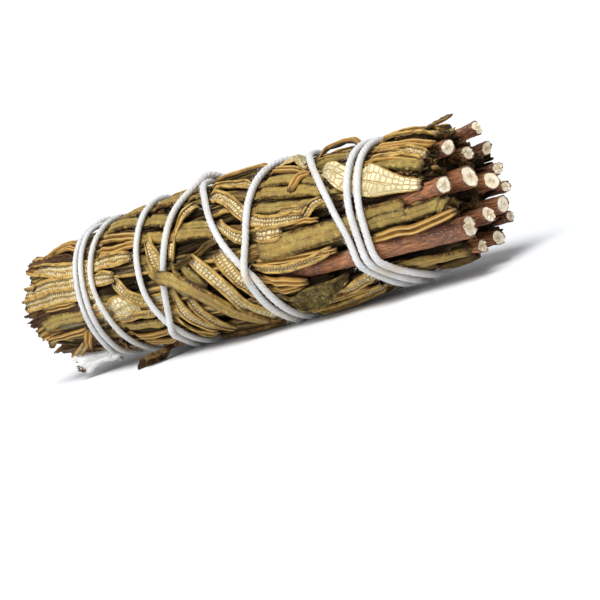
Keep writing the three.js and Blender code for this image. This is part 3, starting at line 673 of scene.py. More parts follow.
def cover_of(shaped):
    """A search tree of the places that leaves cover, with their radii there."""
    spots = np.concatenate([points.reshape(-1, 3) for points, *_ in shaped])
    station, radius, turn = where(spots)
    tree = KDTree(len(spots))
    for i, spot in enumerate(unrolled(station, turn)):
        tree.insert(spot, i)
    tree.balance()
    return tree, radius


def give_way(points, cover):
    """Lowers leaves where others lie over them."""
    tree, over = cover
    station, radius, turn = where(points)
    limit = [
        min((over[i] for _, i, _ in tree.find_range(spot, GIVE_REACH)), default=FAR_OUT)
        for spot in unrolled(station, turn).reshape(-1, 3)
    ]
    return place(station, np.minimum(radius, np.reshape(limit, radius.shape) - GIVE_GAP), turn)[0]


def wobble(share, draw, waves=3):
    """A gentle unevenness along a leaf, about 1 high."""
    total = np.zeros_like(share)
    for k in range(1, waves + 1):
        total += draw.normal(0, 1 / k) * np.sin(2 * math.pi * (k * share + draw.random()))
    return total


HEIGHT_WAVE = 0.06
TURN_WAVE = 0.5
WIDTH_WAVE = 0.05
NET_WAVE = 0.15
CRINKLE = {"shrivelled": 0.05}
PLAIN_CRINKLE = 0.015
EDGE_ROLL = 1.2  # half the width past which the rolled edges grow no higher
TORN_ENDS = 8  # the torn ends take one part in this many of the length
TIP_STAIN = 1.2
NETS = {  # where the midrib ends, where the margin starts, its rise, and one cell's share of a half
    "netted": (0.12, 0.70, 0.10, 0.78),
    "open": (0.07, 0.92, 0.06, 0.625),
}


def leaf(
    kind, width, path, rings, draw, tone=0.5, ends=(0.8, 0.7), taper=0.17, cells=0.62, tilt=8, roll=0,
    draped=True, held=True, cover=None, shade=0.0, sunk=1.0,
):
    """The points of one leaf, its UVs and its dye and painted shade: tone, painted shade, ridges and ends."""
    share = np.linspace(0, 1, rings)
    station, turn, height = along(path, share).T
    radius = girth_at(station) + height + HEIGHT_WAVE * wobble(share, draw, 5)
    turn = turn + TURN_WAVE * wobble(share, draw)
    line, out = place(station, radius, turn)
    up_from, side = frames(line, out)
    lean = np.radians(roll + tilt * wobble(share, draw))[:, None]
    tilted = side * np.cos(lean) - up_from * np.sin(lean)
    up_from, side = up_from * np.cos(lean) + side * np.sin(lean), tilted
    half = SECTIONS[kind]
    section = np.array([(-x, y, -s) for x, y, s in half[:0:-1]] + half)
    begin, finish = 1 - smooth(share / taper), 1 - smooth((1 - share) / taper)
    narrow = 1 - (1 - ends[0]) * begin - (1 - ends[1]) * finish
    wide = width / 2 * narrow * (1 + WIDTH_WAVE * wobble(share, draw, 6))
    rolled = np.minimum(wide, EDGE_ROLL)[:, None]
    heading = np.cross(up_from, side)
    spread = np.linspace(-1, 1, 5)
    ragged, torn = (np.interp(section[:, 0], spread, draw.uniform(-0.5, 0.5, 5)) for _ in range(2))
    from_end = np.stack([share, 1 - share])[..., None] * TORN_ENDS
    slide = ragged * smooth(1 - from_end[0]) + torn * smooth(1 - from_end[1])
    crinkle = draw.normal(0, CRINKLE.get(kind, PLAIN_CRINKLE), (rings, len(section)))
    points = (
        line[:, None]
        - side[:, None] * (section[:, 0] * wide[:, None])[..., None]
        + up_from[:, None] * (section[:, 1] * rolled + crinkle)[..., None]
        + heading[:, None] * slide[..., None]
    )
    if cover:
        points = give_way(points, cover)
    # Painted shade: the deeper a leaf lies below the girth, the darker it is painted.
    deep = smooth(girth_at(station)[:, None] - where(points)[1] + 0.1)
    shade = np.clip(shade + sunk * deep, 0, 1)
    if draped:
        points = drape(points)
    if held:
        points = press(points)
    points = ground(points)
    reach = np.concatenate([[0], np.cumsum(np.linalg.norm(np.diff(line, axis=0), axis=-1))])
    across, length = section[:, 2] * width / 2, reach
    place_in = np.abs(section[:, 2])
    if kind in NETS:
        midrib, margin, rise, net = NETS[kind]
        across, length = section[:, 2] / net + 1, reach / cells + NET_WAVE * wobble(share, draw, 7)
        ridge = np.maximum(1 - place_in / midrib, smooth((place_in - margin) / rise))
    elif kind == "trough":
        ridge = 0.4 + 0.4 * place_in
    else:
        ridge = (section[:, 1] - section[:, 1].min()) / np.ptp(section[:, 1])
    uv = grid_uv(across, length) + draw.integers(0, 40, 2) * [2, 1]
    from_tip = np.minimum(reach, reach[-1] - reach)
    tip = smooth(1 - from_tip / TIP_STAIN)
    dye_and_shade = np.stack(np.broadcast_arrays(tone, shade, ridge[None], tip[:, None]), -1)
    return points[:, ::-1], uv[:, ::-1], dye_and_shade[:, ::-1]


CREASE = 50


def harden(piece, thickness):
    """Gives a piece of sheets its thickness and smooths all but its sharp edges."""
    bpy.ops.object.select_all(action="DESELECT")
    piece.select_set(True)
    bpy.context.view_layer.objects.active = piece
    wall = piece.modifiers.new("thickness", "SOLIDIFY")
    wall.thickness = thickness
    wall.offset = -1
    bpy.ops.object.modifier_apply(modifier=wall.name)
    bpy.ops.object.shade_smooth_by_angle(angle=math.radians(CREASE))
    return piece


# The leaves that can be told apart in the photograph, and a few more on the back: kind, width, tone
# and line. A tone of 0 is the darkest of its kind and 1 the lightest, or the ochre one if netted.
LEAVES = [
    ("netted", 2.9, 0.5, [(-2.2, 30, 0.2), (7, 48, 0.3), (13, 54, 0), (22, 59, 0.3), (30, 62, 0)]),
    ("netted", 2.7, 0.4, [(-2.0, 62, 0.3), (7, 64, 0.3), (13, 66, 0), (20, 71, 0.2), (25, 74, 0.3)]),
    ("netted", 2.7, 0.5, [(-2.4, 75, 0.2), (6, 76, 0.2), (13, 78, 0), (19, 83, 0.2)]),
    ("netted", 3.0, 0.3, [(20.5, 100, 0.0), (24.5, 95, 0.1), (28, 99, 0.0)]),
    ("netted", 1.9, 0.4, [(26, 79, 0.9), (28.8, 90, 1.0), (32.2, 103, 0.4)]),
    ("netted", 2.0, 0.5, [(35.5, 54, 0.6), (36.6, 67, 0.7), (36.8, 82, 0.3)]),
    ("netted", 2.0, 0.4, [(46.5, 34, 0.4), (43.4, 46, 0.5), (41.5, 57, 0.5), (40.4, 74, 0.2)]),
    ("netted", 2.2, 0.3, [(38.6, 94, 0.4), (39.4, 112, 0.5), (41, 128, 0.5), (42.5, 140, 0.2)]),
    ("netted", 2.0, 0.5, [(42.4, 104, 0.4), (43.2, 118, 0.5), (44.2, 131, 0.5), (45.6, 146, 0.2)]),
    ("netted", 2.6, 0.3, [(46.6, 77, 0.9), (51.5, 100, 0.7), (53.6, 124, 0.6), (55.8, 147, 0.2)]),
    ("netted", 2.2, 0.7, [(52.5, 77, 0.5), (53.8, 91, 0.3), (55.6, 105, 0.2), (57, 122, 0)]),
    (
        "netted", 2.2, 0.5,
        [(49, 27, 0.5), (55, 40, 0.5), (59, 54, 0.3), (62, 62, 0.2), (67, 67, 0.5), (73, 69, 0.5)],
    ),
    ("netted", 2.0, 0.4, [(52.8, 56, 0.5), (56, 66, 0.5), (59, 74, 0.2)]),
    ("netted", 2.6, 0.4, [(61.4, 72, 0.3), (64, 74, 0.4), (68, 76, 0.4)]),
    ("folded", 2.1, 0.97, [(57.5, 105, 0.3), (61.7, 109, 0.5), (65, 111.5, 0.6), (68.4, 118, 0.3)]),
    ("folded", 1.7, 0.92, [(57.5, 114, 0.1), (60.7, 117.5, 0.3), (64, 120, 0.3), (67, 120, 0.0)]),
    ("netted", 3.2, 0.5, [(63, 156, 0.2), (72, 157, 0.3), (80, 152, 0)]),
    ("netted", 2.3, 0.5, [(72.5, 140, 0.2), (76, 136, 0.4), (80, 132, 0.4), (83.5, 132, 0.1)]),
    ("folded", 1.7, 0.6, [(58, 147, 0.2), (64, 146, 0.5), (70, 143.5, 0.5), (78, 145, 0.3)]),
    ("netted", 1.8, 0.6, [(48.6, 20, 0.4), (54, 24, 0.4), (59, 27, 0.1)]),
    ("netted", 2.0, 0.5, [(90, 29, 0.4), (94.5, 32, 0.7), (97, 35, 0.7), (99.8, 43, 0.4)]),
    ("netted", 2.6, 0.5, [(23, 225, 0.4), (32, 236, 0.5), (39, 252, 0.3)]),
    ("netted", 3.0, 0.4, [(47, 292, 0.4), (56, 284, 0.5), (66, 270, 0.3)]),
    ("netted", 2.4, 0.5, [(70, 214, 0.4), (78, 222, 0.5), (86, 236, 0.2)]),
    ("netted", 2.6, 0.4, [(3, 250, 0.2), (12, 254, 0.1), (22, 262, 0.4)]),
    ("netted", 2.4, 0.5, [(70, 300, 0.4), (78, 294, 0.2), (88, 289, 0.5)]),
    ("netted", 1.4, 0.5, [(20, 110, 0.3), (28, 107, 0.4), (32, 111, 0.2)]),
    ("netted", 1.6, 0.5, [(35, 119, 0.3), (37, 133, 0.4), (40, 148, 0.2)]),
    ("netted", 1.4, 0.6, [(59, 95, 0.3), (66, 101, 0.5), (71, 101, 0.4), (77, 98, 0.2)]),
    ("netted", 1.6, 0.5, [(73, 70, 0.5), (75, 63, 0.6), (77, 56, 0.5)]),
    ("netted", 2.3, 0.5, [(85, -3, 0.3), (90, 0, 0.9), (95, 4, 0.9), (100.5, 14, 0.5)]),
    ("netted", 2.0, 0.5, [(84, -9, 0.3), (90, -8, 0.6), (96, -5, 0.5), (101, -2, 0.2)]),
    ("smooth", 2.2, 0.4, [(20, 117, 0.2), (28, 118, 0.4), (35, 124, 0.2)]),
    ("folded", 1.6, 0.7, [(20, 128, 0.3), (28, 130, 0.5), (34, 133, 0.1)]),
    ("folded", 1.8, 0.6, [(20, 139, 0.2), (27, 141, 0.4), (36, 144, 0.1)]),
    ("smooth", 2.8, 0.4, [(23, 10, 0.2), (33, 14, 0.5), (45, 18, 0.3)]),
    ("smooth", 3.2, 0.5, [(17, 22, 0.2), (28, 27, 0.5), (41, 42, 0.2)]),
    ("folded", 2.1, 0.6, [(19, 35, 0.5), (25, 40, 0.5), (32, 45, 0.1)]),
    ("folded", 1.9, 0.7, [(20.5, 48, 0.4), (27, 52, 0.5), (32, 50, 0.2)]),
    ("smooth", 2.6, 0.4, [(32, 48, 0.4), (40, 54, 0.4), (52, 62, 0.2)]),
    ("smooth", 2.0, 0.6, [(44, 51, 0.3), (48, 53, 0.4), (51.5, 54, 0.3)]),
    ("folded", 1.5, 0.1, [(41, 80, 0.5), (47, 75, 0.6), (53, 68, 0.2)]),
    ("shrivelled", 2.2, 0.3, [(-3.4, 14, 0.4), (4, 33, 0.4), (12, 42, 0)]),
    ("shrivelled", 1.6, 0.2, [(-2.8, 98, 0.2), (5, 92, 0.3), (13, 89, 0.1)]),
    ("folded", 1.8, 0.4, [(-2.0, 110, 0.3), (6, 100, 0.4), (14, 98, 0.1)]),
    ("folded", 1.2, 0.5, [(3, 86, 0.4), (9, 86, 0.5), (13, 86, 0.2)]),
    ("smooth", 2.8, 0.9, [(1, 104, 0.7), (6, 98, 0.8), (14, 100, 0.1)]),
    ("folded", 1.5, 0.6, [(-1, 124, 0.6), (5, 117, 0.7), (13, 112, 0.1)]),
    ("shrivelled", 1.7, 0.3, [(-1.5, 150, 0.6), (6, 138, 0.6), (14, 124, 0)]),
    ("folded", 1.8, 0.7, [(0, 8, 0.5), (6, 14, 0.5), (14, 20, 0)]),
    ("folded", 1.4, 0.8, [(6, 25, 0.5), (10, 27, 0.5), (13.5, 32, 0.2)]),
    ("smooth", 2.8, 0.8, [(59, 38, 0.4), (67, 43, 0.5), (78, 51, 0.2)]),
    ("smooth", 2.4, 0.2, [(60, 52, 0.3), (68, 57, 0.4), (79, 60, 0.1)]),
    ("smooth", 4.4, 0.45, [(61.5, 85, 0.7), (72, 85, 0.8), (80, 84, 0.4), (87, 82, 0.1), (94.5, 82, 0.6)]),
    ("folded", 1.6, 0.7, [(60, 92, 0.2), (66, 95, 0.4), (78, 100, 0.2)]),
    (
        "trough", 4.6, 0.3,
        [(61.6, 130, 0.2), (64.5, 133, 0.5), (68.5, 130.5, 0.5), (72.5, 127, 0.4), (76.5, 124, 0.1)],
    ),
    ("folded", 1.8, 0.6, [(48, 6, 0.4), (56, 2, 0.7), (66, -2, 0.3)]),
    ("folded", 1.8, 0.7, [(60, 12, 0.5), (68, 22, 0.5), (76, 30, 0)]),
    ("smooth", 2.6, 0.5, [(60, 28, 0.3), (69, 33, 0.4), (77, 38, -0.4)]),
    ("folded", 2.0, 0.8, [(70.5, 47, 0.9), (72.5, 22, 0.7)]),
    (
        "folded", 2.1, 0.6,
        [
            (70, 24, 0.5), (71.3, 10, 0.6), (72.6, -2, 0.8), (74.6, -8, 1.3), (77.5, -9, 1.6), (81, -9, 1.2),
            (84.5, -10, 0.7), (89, -10, 0.5),
        ],
    ),
    ("folded", 2.0, 0.8, [(85, 14, 0.2), (93, 20, 0.5), (100.5, 27, 0.2)]),
    ("shrivelled", 2.2, 0.7, [(90, 3, 0.3), (95, 6, 0.9), (99, 6, 1.7), (103, 4, 2.7)]),
    ("folded", 1.3, 0.6, [(88, 22, 0.5), (92, 26, 0.6), (96, 31, 0.5)]),
    ("folded", 1.8, 0.7, [(84, 30, 0.2), (92, 34, 0.5), (98.5, 43, 0.4)]),
    ("smooth", 2.8, 0.3, [(85, 30, -0.3), (91, 39, 0.2), (95, 44, 0.4), (99, 48, 0.4)]),
    ("smooth", 2.8, 0.25, [(80, 89, 0.1), (86, 88, 0.3), (92, 88, 0.4), (97.5, 87, 0.3), (101.7, 86, 0.1)]),
    (
        "folded", 1.9, 0.7,
        [(82, 102, 0.3), (90.9, 99.5, 0.7), (95, 100, 0.8), (100.7, 98, 0.9), (104.4, 96, 0.7)],
    ),
    ("smooth", 2.8, 0.75, [(84, 132, 0.1), (92, 138, 0.3), (100.5, 146, 0.2)]),
    ("smooth", 4.4, 0.4, [(39, 178, 0.4), (47, 180, 0.6), (56, 181, 0.4)]),
    ("smooth", 3.6, 0.4, [(38, 164, 0.4), (46, 163, 0.6), (57, 166, 0.4)]),
    ("smooth", 3.6, 0.4, [(41, 194, 0.4), (48, 197, 0.6), (54, 195, 0.4)]),
]
RING_SPACING = 0.42
RING_ROUND = 6  # so that leaves of about one length share one sheet
TURN_SPAN = 0.12  # a degree round the stick takes as many rings as this length along it
CELLS = {"tip end": 0.5, "narrow": 0.66, "wide": 0.9, "open": 1.0}
WIDE_LEAF = 2.5
leaf_draw = np.random.default_rng(511)
sheets = {kind: {} for kind in SECTIONS}


def lay(kind, width, path, rings, draw, tone, **how):
    """Makes a leaf and puts it with those of its kind and number of rings."""
    sheets[kind].setdefault(rings, []).append(leaf(kind, width, path, rings, draw, tone, **how))


for kind, width, tone, path in LEAVES:
    turned = TURN_SPAN * abs(path[-1][1] - path[0][1])
    span = np.abs(np.diff([station for station, *_ in path])).sum() + turned
    rings = RING_ROUND * round(span / RING_SPACING / RING_ROUND) + RING_ROUND + 1
    ends = {"smooth": (0.96, 0.9), "trough": (0.8, 0.25)}.get(kind, (0.8, 0.7))
    taper = 0.5 if kind == "trough" else 0.17
    cells = CELLS["wide" if width > WIDE_LEAF else "narrow"]
    if path[0][0] < 0:
        cells = CELLS["tip end"]
    lay(kind, width, path, rings, leaf_draw, tone, ends=ends, taper=taper, cells=cells, tilt=5)

# The widest leaf shows its pale underside on both sides of the windings near the butt end. The
# leaves of the filling below give way under it and under all the leaves above.
WIDEST = [
    (75.3, 28, 0.4), (78.3, 33, 0.6), (81.6, 42, 0.5), (85.8, 50, 0.5), (89.8, 57, 0.8), (94, 62, 1.1),
    (98.8, 67, 0.9),
]
WIDEST_RINGS = 73
lay("open", 6.2, WIDEST, WIDEST_RINGS, leaf_draw, 0.15, ends=(0.35, 0.3), taper=0.42, cells=1.3, tilt=4)
cover = cover_of([shaped for kind in sheets.values() for alike in kind.values() for shaped in alike])

# Short bits of leaf that broke off lie across the others, between the windings and at the ends,
# and are held in by the twine where they reach under it.
BITS = [  # kind, width, tone, share of the width at the start, and the line
    ("open", 4.4, 0.27, 0.35, [(21.0, 102, 0.6), (25.2, 98, 0.8), (29.8, 97.5, 0.5)]),
    ("open", 3.4, 0.32, 0.8, [(16.0, 97, 0.2), (18.2, 98, 0.4), (20.4, 99, 0.3)]),
    ("open", 2.8, 0.25, 0.7, [(63.6, 12, 0.4), (66.3, 8, 0.6), (69, 4, 0.6)]),
    ("open", 2.6, 0.25, 0.8, [(66.4, -4, 0.9), (69.2, 8, 0.9), (71.6, 20, 0.5)]),
    ("netted", 1.3, 0.9, 0.8, [(67.6, 61, 0.7), (70.8, 62, 0.9), (74.0, 63, 0.6)]),
    ("netted", 1.3, 0.6, 0.9, [(2.4, 148, 1.6), (6, 137, 1.4), (9.9, 127, 0.5)]),
    ("folded", 1.2, 0.97, 0.3, [(71.2, 73, 0.9), (73.8, 72, 1.1), (76.3, 74, 0.8)]),
    ("folded", 1.6, 0.97, 0.9, [(12.9, 113, 0.8), (11.4, 122, 1.2), (9.9, 132, 1.3)]),
    ("smooth", 1.8, 0.27, 0.7, [(42.6, 29, 0.7), (45, 23, 0.9), (47.3, 17, 0.7)]),
    ("smooth", 2.8, 0.0, 0.6, [(43.2, 80, 0.5), (45.3, 90, 0.7), (47, 99, 0.3)]),
    ("smooth", 1.7, 0.5, 0.8, [(33.4, 71, 0.6), (35.1, 79, 0.8), (36.9, 87, 0.4)]),
    ("smooth", 1.9, 0.35, 0.7, [(40.2, 75, 0.6), (41, 82, 0.7), (41.7, 89, 0.3)]),
    ("smooth", 1.6, 0.6, 0.5, [(103.4, 84, 0.6), (102, 88.5, 0.8), (100.6, 94, 0.5)]),
    ("shrivelled", 1.9, 0.6, 0.8, [(18.2, 134, 0.6), (17.2, 142, 1.4), (15.9, 148, 2.4)]),
]
BIT_RINGS = 19
bit_draw = np.random.default_rng(73)
for kind, width, tone, start, path in BITS:
    cells = CELLS["open" if kind == "open" else "narrow"]
    lay(kind, width, path, BIT_RINGS, bit_draw, tone, ends=(start, 0.85), taper=0.5, cells=cells)

# A bit of leaf hangs out under the stick near its tip end, and crumbs of leaf cling to the frayed
# tail and between the stems at the butt end.
HANGING = [(28.0, 153, 0.7), (27.0, 149, 1.5), (25.8, 145.0, 2.5), (24.5, 141, 3.6), (23.4, 138, 4.7)]
CRUMBS = [(4.8, 138, 1.7), (5.1, 142, 2.9), (5.3, 145, 4.0), (5.4, 147, 4.6)]
CRUMB_SPAN = 0.8
CRUMB_RINGS = 5
BUTT_CRUMBS = 110
BUTT_PLACES = [(28, 62, 97.5), (84, 100, 100), (40, 60, 95), (5, 35, 98)]  # turns and station
# It is darkened a little by painted shade.
lay(
    "trough", 2.8, HANGING, BIT_RINGS, leaf_draw, 0.1,
    ends=(0.12, 0.9), taper=0.45, held=False, shade=0.2,
)
crumbs = list(CRUMBS)
for i in range(BUTT_CRUMBS):
    low, high, station = BUTT_PLACES[i % len(BUTT_PLACES)]
    turn, height = leaf_draw.uniform(low, high), leaf_draw.uniform(-2.4, -0.3)
    crumbs.append((station + leaf_draw.uniform(-1.6, 1.6), turn, height))
for station, turn, height in crumbs:
    skew = leaf_draw.uniform(-4, 4)
    rows = [(station - CRUMB_SPAN * k, turn + skew * k, height + 0.3 * k) for k in (0, 0.5, 1)]
    tone = leaf_draw.uniform(0.2, 1.2)
    # Their painted shade by depth is weak.
    lay(
        "shrivelled", 0.7, rows, CRUMB_RINGS, leaf_draw, tone,
        tilt=40, draped=False, held=False, sunk=0.2,
    )

# Between and under those the bundle is filled with more leaves, most of them along the stick, and
# painted shade makes them darker the deeper they lie.
LAYERS = [(-2.4, -1.7, 0.5), (-1.6, -1.0, 0.3), (-1.0, -0.05, 0.0)]  # lowest, highest, painted shade
COURSES = 4
ROWS = 34
FILL_RINGS = 15
BARE = [(99, 125, 62), (66, 83, 86)]  # turns and first station of the stems that show
SHALLOW = -1.5
TUCK = 12  # deeper leaves may end this far under a bare stem
KINDS = ["smooth", "folded", "shrivelled", "netted"]
ODDS = [0.34, 0.40, 0.14, 0.12]
DEEP_SHADE = 0.5
DEEP_ODDS = [0.34, 0.30, 0.30, 0.06]
for lowest, highest, shade in LAYERS:
    deep = shade >= DEEP_SHADE
    odds = DEEP_ODDS if deep else ODDS
    for i in range(COURSES * ROWS):
        course, row = divmod(i, ROWS)
        kind = leaf_draw.choice(KINDS, p=odds)
        turn = 360 * (row + leaf_draw.uniform(-0.4, 0.4)) / ROWS
        start = LENGTH / COURSES * (course + (row % 3) / 3 - 0.45) + leaf_draw.uniform(-3, 3)
        first = max(start, leaf_draw.uniform(-1.6, 0.6))
        reach = LENGTH / COURSES * leaf_draw.uniform(0.9, 1.5)
        last = min(start + reach, LENGTH + leaf_draw.uniform(-5.5, -1.2))
        drift = leaf_draw.normal(0, 7)
        height = leaf_draw.uniform(lowest, highest)
        bare = any(
            low < at % 360 < high and last > begin and (highest > SHALLOW or first > begin - TUCK)
            for low, high, begin in BARE
            for at in (turn - drift, turn, turn + drift)
        )
        if bare:
            continue
        half_way = ((first + last) / 2, turn, height + 0.1)
        path = [(first, turn - drift, height), half_way, (last, turn + drift, height)]
        width = leaf_draw.uniform(1.7, 3.0)
        tone = leaf_draw.beta(1.2, 1.8)
        roll = leaf_draw.choice([-1, 1]) * leaf_draw.uniform(6, 26)
        lay(
            kind, width, path, FILL_RINGS, leaf_draw, tone,
            tilt=6, roll=roll, shade=shade, draped=not deep, cover=cover,
        )

# Cut across with shears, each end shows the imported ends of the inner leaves. They stand in a
# spiral round the middle, and at the butt end they leave the stems free.
TIP_FACE = {"count": 120, "inside": 6, "end": (-3.4, -0.4)}
BUTT_FACE = {"count": 90, "inside": 94, "end": (97, 101.5)}
GOLDEN_TURN = 137.508
FACE_INSET = 1.2
FACE_TWIST = 6
FACE_CLEAR = 0.8
FACE_RINGS = 7


def in_a_stem(radius, turn):
    """Whether a place on the butt end is on a stem, or too close to one."""
    spot = radius * np.exp(1j * math.radians(turn))
    axes = [(width, path[-1][1] * np.exp(1j * math.radians(path[-1][2]))) for width, path in STEMS]
    return any(abs(spot - axis) < width / 2 + FACE_CLEAR for width, axis in axes)


for face in (TIP_FACE, BUTT_FACE):
    whole = girth_at(face["inside"]) - FACE_INSET
    for i in range(face["count"]):
        radius = whole * math.sqrt((i + 0.5) / face["count"])
        turn = i * GOLDEN_TURN + leaf_draw.uniform(-6, 6)
        cut = leaf_draw.uniform(*face["end"])
        kind = leaf_draw.choice(["smooth", "folded", "shrivelled"], p=[0.4, 0.25, 0.35])
        if face is BUTT_FACE and in_a_stem(radius, turn + FACE_TWIST):
            continue
        rows = [
            (station, turn + FACE_TWIST * k, radius - girth_at(station))
            for k, station in ((0, face["inside"]), (0.5, (face["inside"] + cut) / 2), (1, cut))
        ]
        width, tone = leaf_draw.uniform(1.7, 3.2), leaf_draw.beta(1.6, 1.2)
        # Their painted shade by depth is weak.
        lay(
            kind, width, rows, FACE_RINGS, leaf_draw, tone,
            ends=(0.9, 0.95), tilt=45, draped=False, sunk=0.12,
        )

# Under the leaves lies a heart, a closed and fluted bundle painted nearly black as shadow, that shows
# only in the gaps. It dips along the two stems that show.
HEART_DEPTH = 2.9
HEART_FLUTES = 13
HEART_DIPS = [(114, 54), (76, 80)]  # turn and first station of the two stems that show
DIP_DEPTH = 1.7
DIP_WIDTH = 11
DIP_START = 6
columns, rings = 72, 40
share = np.linspace(0, 1, rings)
station = np.clip(3 + (LENGTH - 8) * (share - 0.05) / 0.9, 3, LENGTH - 5)
turn = np.linspace(0, 360, columns)
flutes = 0.35 * np.cos(np.radians(turn * HEART_FLUTES))
radius = (girth_at(station) - HEART_DEPTH)[:, None] + flutes[None]
for at, begin in HEART_DIPS:
    dip = DIP_DEPTH * np.exp(-(((turn - at) / DIP_WIDTH) ** 2))
    radius = radius - dip[None] * smooth((station - begin) / DIP_START)[:, None]
radius *= np.clip(np.minimum(share, 1 - share) / 0.04, 0, 1)[:, None]
points, _ = place(*np.broadcast_arrays(station[:, None], radius, turn[None]))
points[:, -1] = points[:, 0]
uv = grid_uv(turn / 10, station)
heart = gather("leaf_heart", copies(blank(columns, rings), [(points[:, ::-1], uv[:, ::-1])]))


def gather_leaves(name, kinds, thickness):
    """One piece of all the leaves of some kinds, with their thickness."""
    made = []
    for kind in kinds:
        columns = 2 * len(SECTIONS[kind]) - 1
        for rings, shapes in sheets[kind].items():
            made += copies(blank(columns, rings), shapes)
    return harden(gather(name, made), thickness / 1000)


netted = gather_leaves("netted_leaves", ["netted", "open"], thickness=0.22)
smooth_leaves = gather_leaves("smooth_leaves", ["smooth", "trough"], thickness=0.38)
folded = gather_leaves("folded_leaves", ["folded"], thickness=0.35)
shrivelled = gather_leaves("shrivelled_leaves", ["shrivelled"], thickness=0.22)


def dye_and_shade_of(base, out=0):
    """The dye and painted shade of a mesh as its colour, or with out=3 the ends of a leaf."""
    return base.node("Attribute", attribute_name="dye_and_shade", out=out)


def parts_of(dye_and_shade):
    """The three parts of a dye's colour: tone, painted shade and ridges on a leaf."""
    return (dye_and_shade.node("SeparateColor", {0: dye_and_shade}, out=k) for k in range(3))


def net_of(flat, scale, randomness):
    """Distances from the veins of a net."""
    inputs = {"Vector": flat, "Scale": scale, "Randomness": randomness}
    return flat.node("TexVoronoi", inputs, feature="DISTANCE_TO_EDGE", voronoi_dimensions="2D")


def kin_of(tone, spread):
    """A second number of a leaf's own, from its tone: olive at 0 and red-brown at 1."""
    return tone.maths("FRACT", tone * spread)


# The pale underside has felted cells in a net of raised veins, and a golden rolled rim. A leaf of a
# low tone has thinner veins and duller patches.
base, spot, flat, end = material("netted_leaf")
tone, shade, ridge = parts_of(dye_and_shade_of(base))
tip = dye_and_shade_of(base, out=3)
net = net_of(flat, 1.0, 0.5)
coarse = tone.between(0.2, 0.45)
vein = net.between(0.10 + 0.12 * coarse, 0.03 + 0.05 * coarse)
fine = net_of(flat, 3.2, 0.9)
patch = noise(spot, 260, 4)
felt = noise(spot, 3000, 2)
cell = patch.between(0.3, 0.55).over((0.50, 0.38, 0.13), (0.78, 0.70, 0.44))
cell = (tone.between(0.3, 1.0) * 0.5).over(cell, (0.60, 0.38, 0.11))
cell = (fine.between(0.08, 0.0) * 0.22).over(cell, (0.55, 0.36, 0.11))
colour = (vein * 0.88).over(cell, (0.36, 0.195, 0.03))
grain = noise(stretched(flat, 5, 0.35), 1.0, 4)
rim = grain.between(0.3, 0.62).over((0.17, 0.09, 0.018), (0.51, 0.325, 0.082))
rim = (patch.between(0.55, 0.75) * 0.5).over(rim, (0.24, 0.12, 0.03))
colour = ((1 - coarse) * patch.between(0.58, 0.36) * 0.6).over(colour, (0.50, 0.43, 0.26))
colour = ridge.between(0.2, 0.8).over(colour, rim)
colour = (tip * patch.between(0.35, 0.6)).over(colour, (0.08, 0.04, 0.015))
# Painted shade by depth.
colour = (shade * 0.85).over(colour, (0.03, 0.016, 0.006))
height = (net.between(0.0, 0.22) * 0.8 + felt * 0.25) * (1 - ridge) + grain * 0.5
netted.data.materials.append(end(colour, 0.6 + 0.4 * shade, height, 0.00022, Specular_IOR_Level=0.35))

# The upper side is leathery, olive or brown, mottled and freckled; painted shade darkens its rolled edges.
base, spot, flat, end = material("smooth_leaf")
tone, shade, ridge = parts_of(dye_and_shade_of(base))
tip = dye_and_shade_of(base, out=3)
kin = kin_of(tone, 37.0)
grain = noise(stretched(flat, 6, 0.7), 1.0, 5)
patch = noise(spot, 150, 4)
mottle = noise(spot, 760, 5, 0.72)
freckle = noise(spot, 1300, 2)
dark = kin.over((0.036, 0.023, 0.005), (0.058, 0.025, 0.008))
light = kin.over((0.170, 0.120, 0.017), (0.265, 0.145, 0.026))
light = (patch.between(0.42, 0.62) * kin.between(0.9, 0.1) * 0.7).over(light, (0.155, 0.130, 0.034))
light = (patch.between(0.55, 0.36) * kin.between(0.2, 0.8) * 0.7).over(light, (0.21, 0.092, 0.020))
pale = tone * 0.75 + 0.08 + (grain - 0.5) * 2.2 + (mottle - 0.5) * 6.5 + (patch - 0.5) * 2.4
colour = pale.clamped().over(dark, light)
bloom = noise(spot, 330, 5, 0.65)
colour = (bloom.between(0.52, 0.62) * 0.5).over(colour, (0.37, 0.295, 0.085))
colour = (freckle.between(0.58, 0.66) * 0.7).over(colour, (0.06, 0.030, 0.009))
colour = (freckle.between(0.36, 0.30) * 0.6).over(colour, (0.66, 0.48, 0.15))
# Painted highlight on the crest of the leaf.
colour = (ridge.between(0.84, 1.0) * 0.4).over(colour, (0.60, 0.42, 0.12))
# Painted shade where the edges roll under and in the hollow of a trough.
colour = ridge.between(0.42, 0.05).over(colour, (0.04, 0.020, 0.006))
colour = (tip * 0.7).over(colour, (0.05, 0.025, 0.009))
# Painted shade by depth.
colour = (shade * 0.94).over(colour, (0.018, 0.009, 0.003))
height = grain + 0.8 * mottle
gloss = 0.36 + 0.35 * mottle + 0.5 * shade
smooth_leaves.data.materials.append(end(colour, gloss, height, 0.00030, Specular_IOR_Level=0.22))

# Leaves folded in on themselves: golden ridges brightened by a painted highlight, and painted shade in the
# creases.
base, spot, flat, end = material("folded_leaf")
tone, shade, ridge = parts_of(dye_and_shade_of(base))
tip = dye_and_shade_of(base, out=3)
kin = kin_of(tone, 41.0)
grain = noise(stretched(flat, 6, 0.35), 1.0, 5)
patch = noise(spot, 200, 4)
scurf = noise(spot, 900, 3, 0.7)
dark = kin.over((0.045, 0.026, 0.007), (0.09, 0.036, 0.012))
light = kin.over((0.27, 0.182, 0.034), (0.41, 0.190, 0.034))
pale = tone * 0.8 + 0.12 + (grain - 0.5) * 1.5 + (scurf - 0.5) + (patch - 0.5)
colour = pale.clamped().over(dark, light)
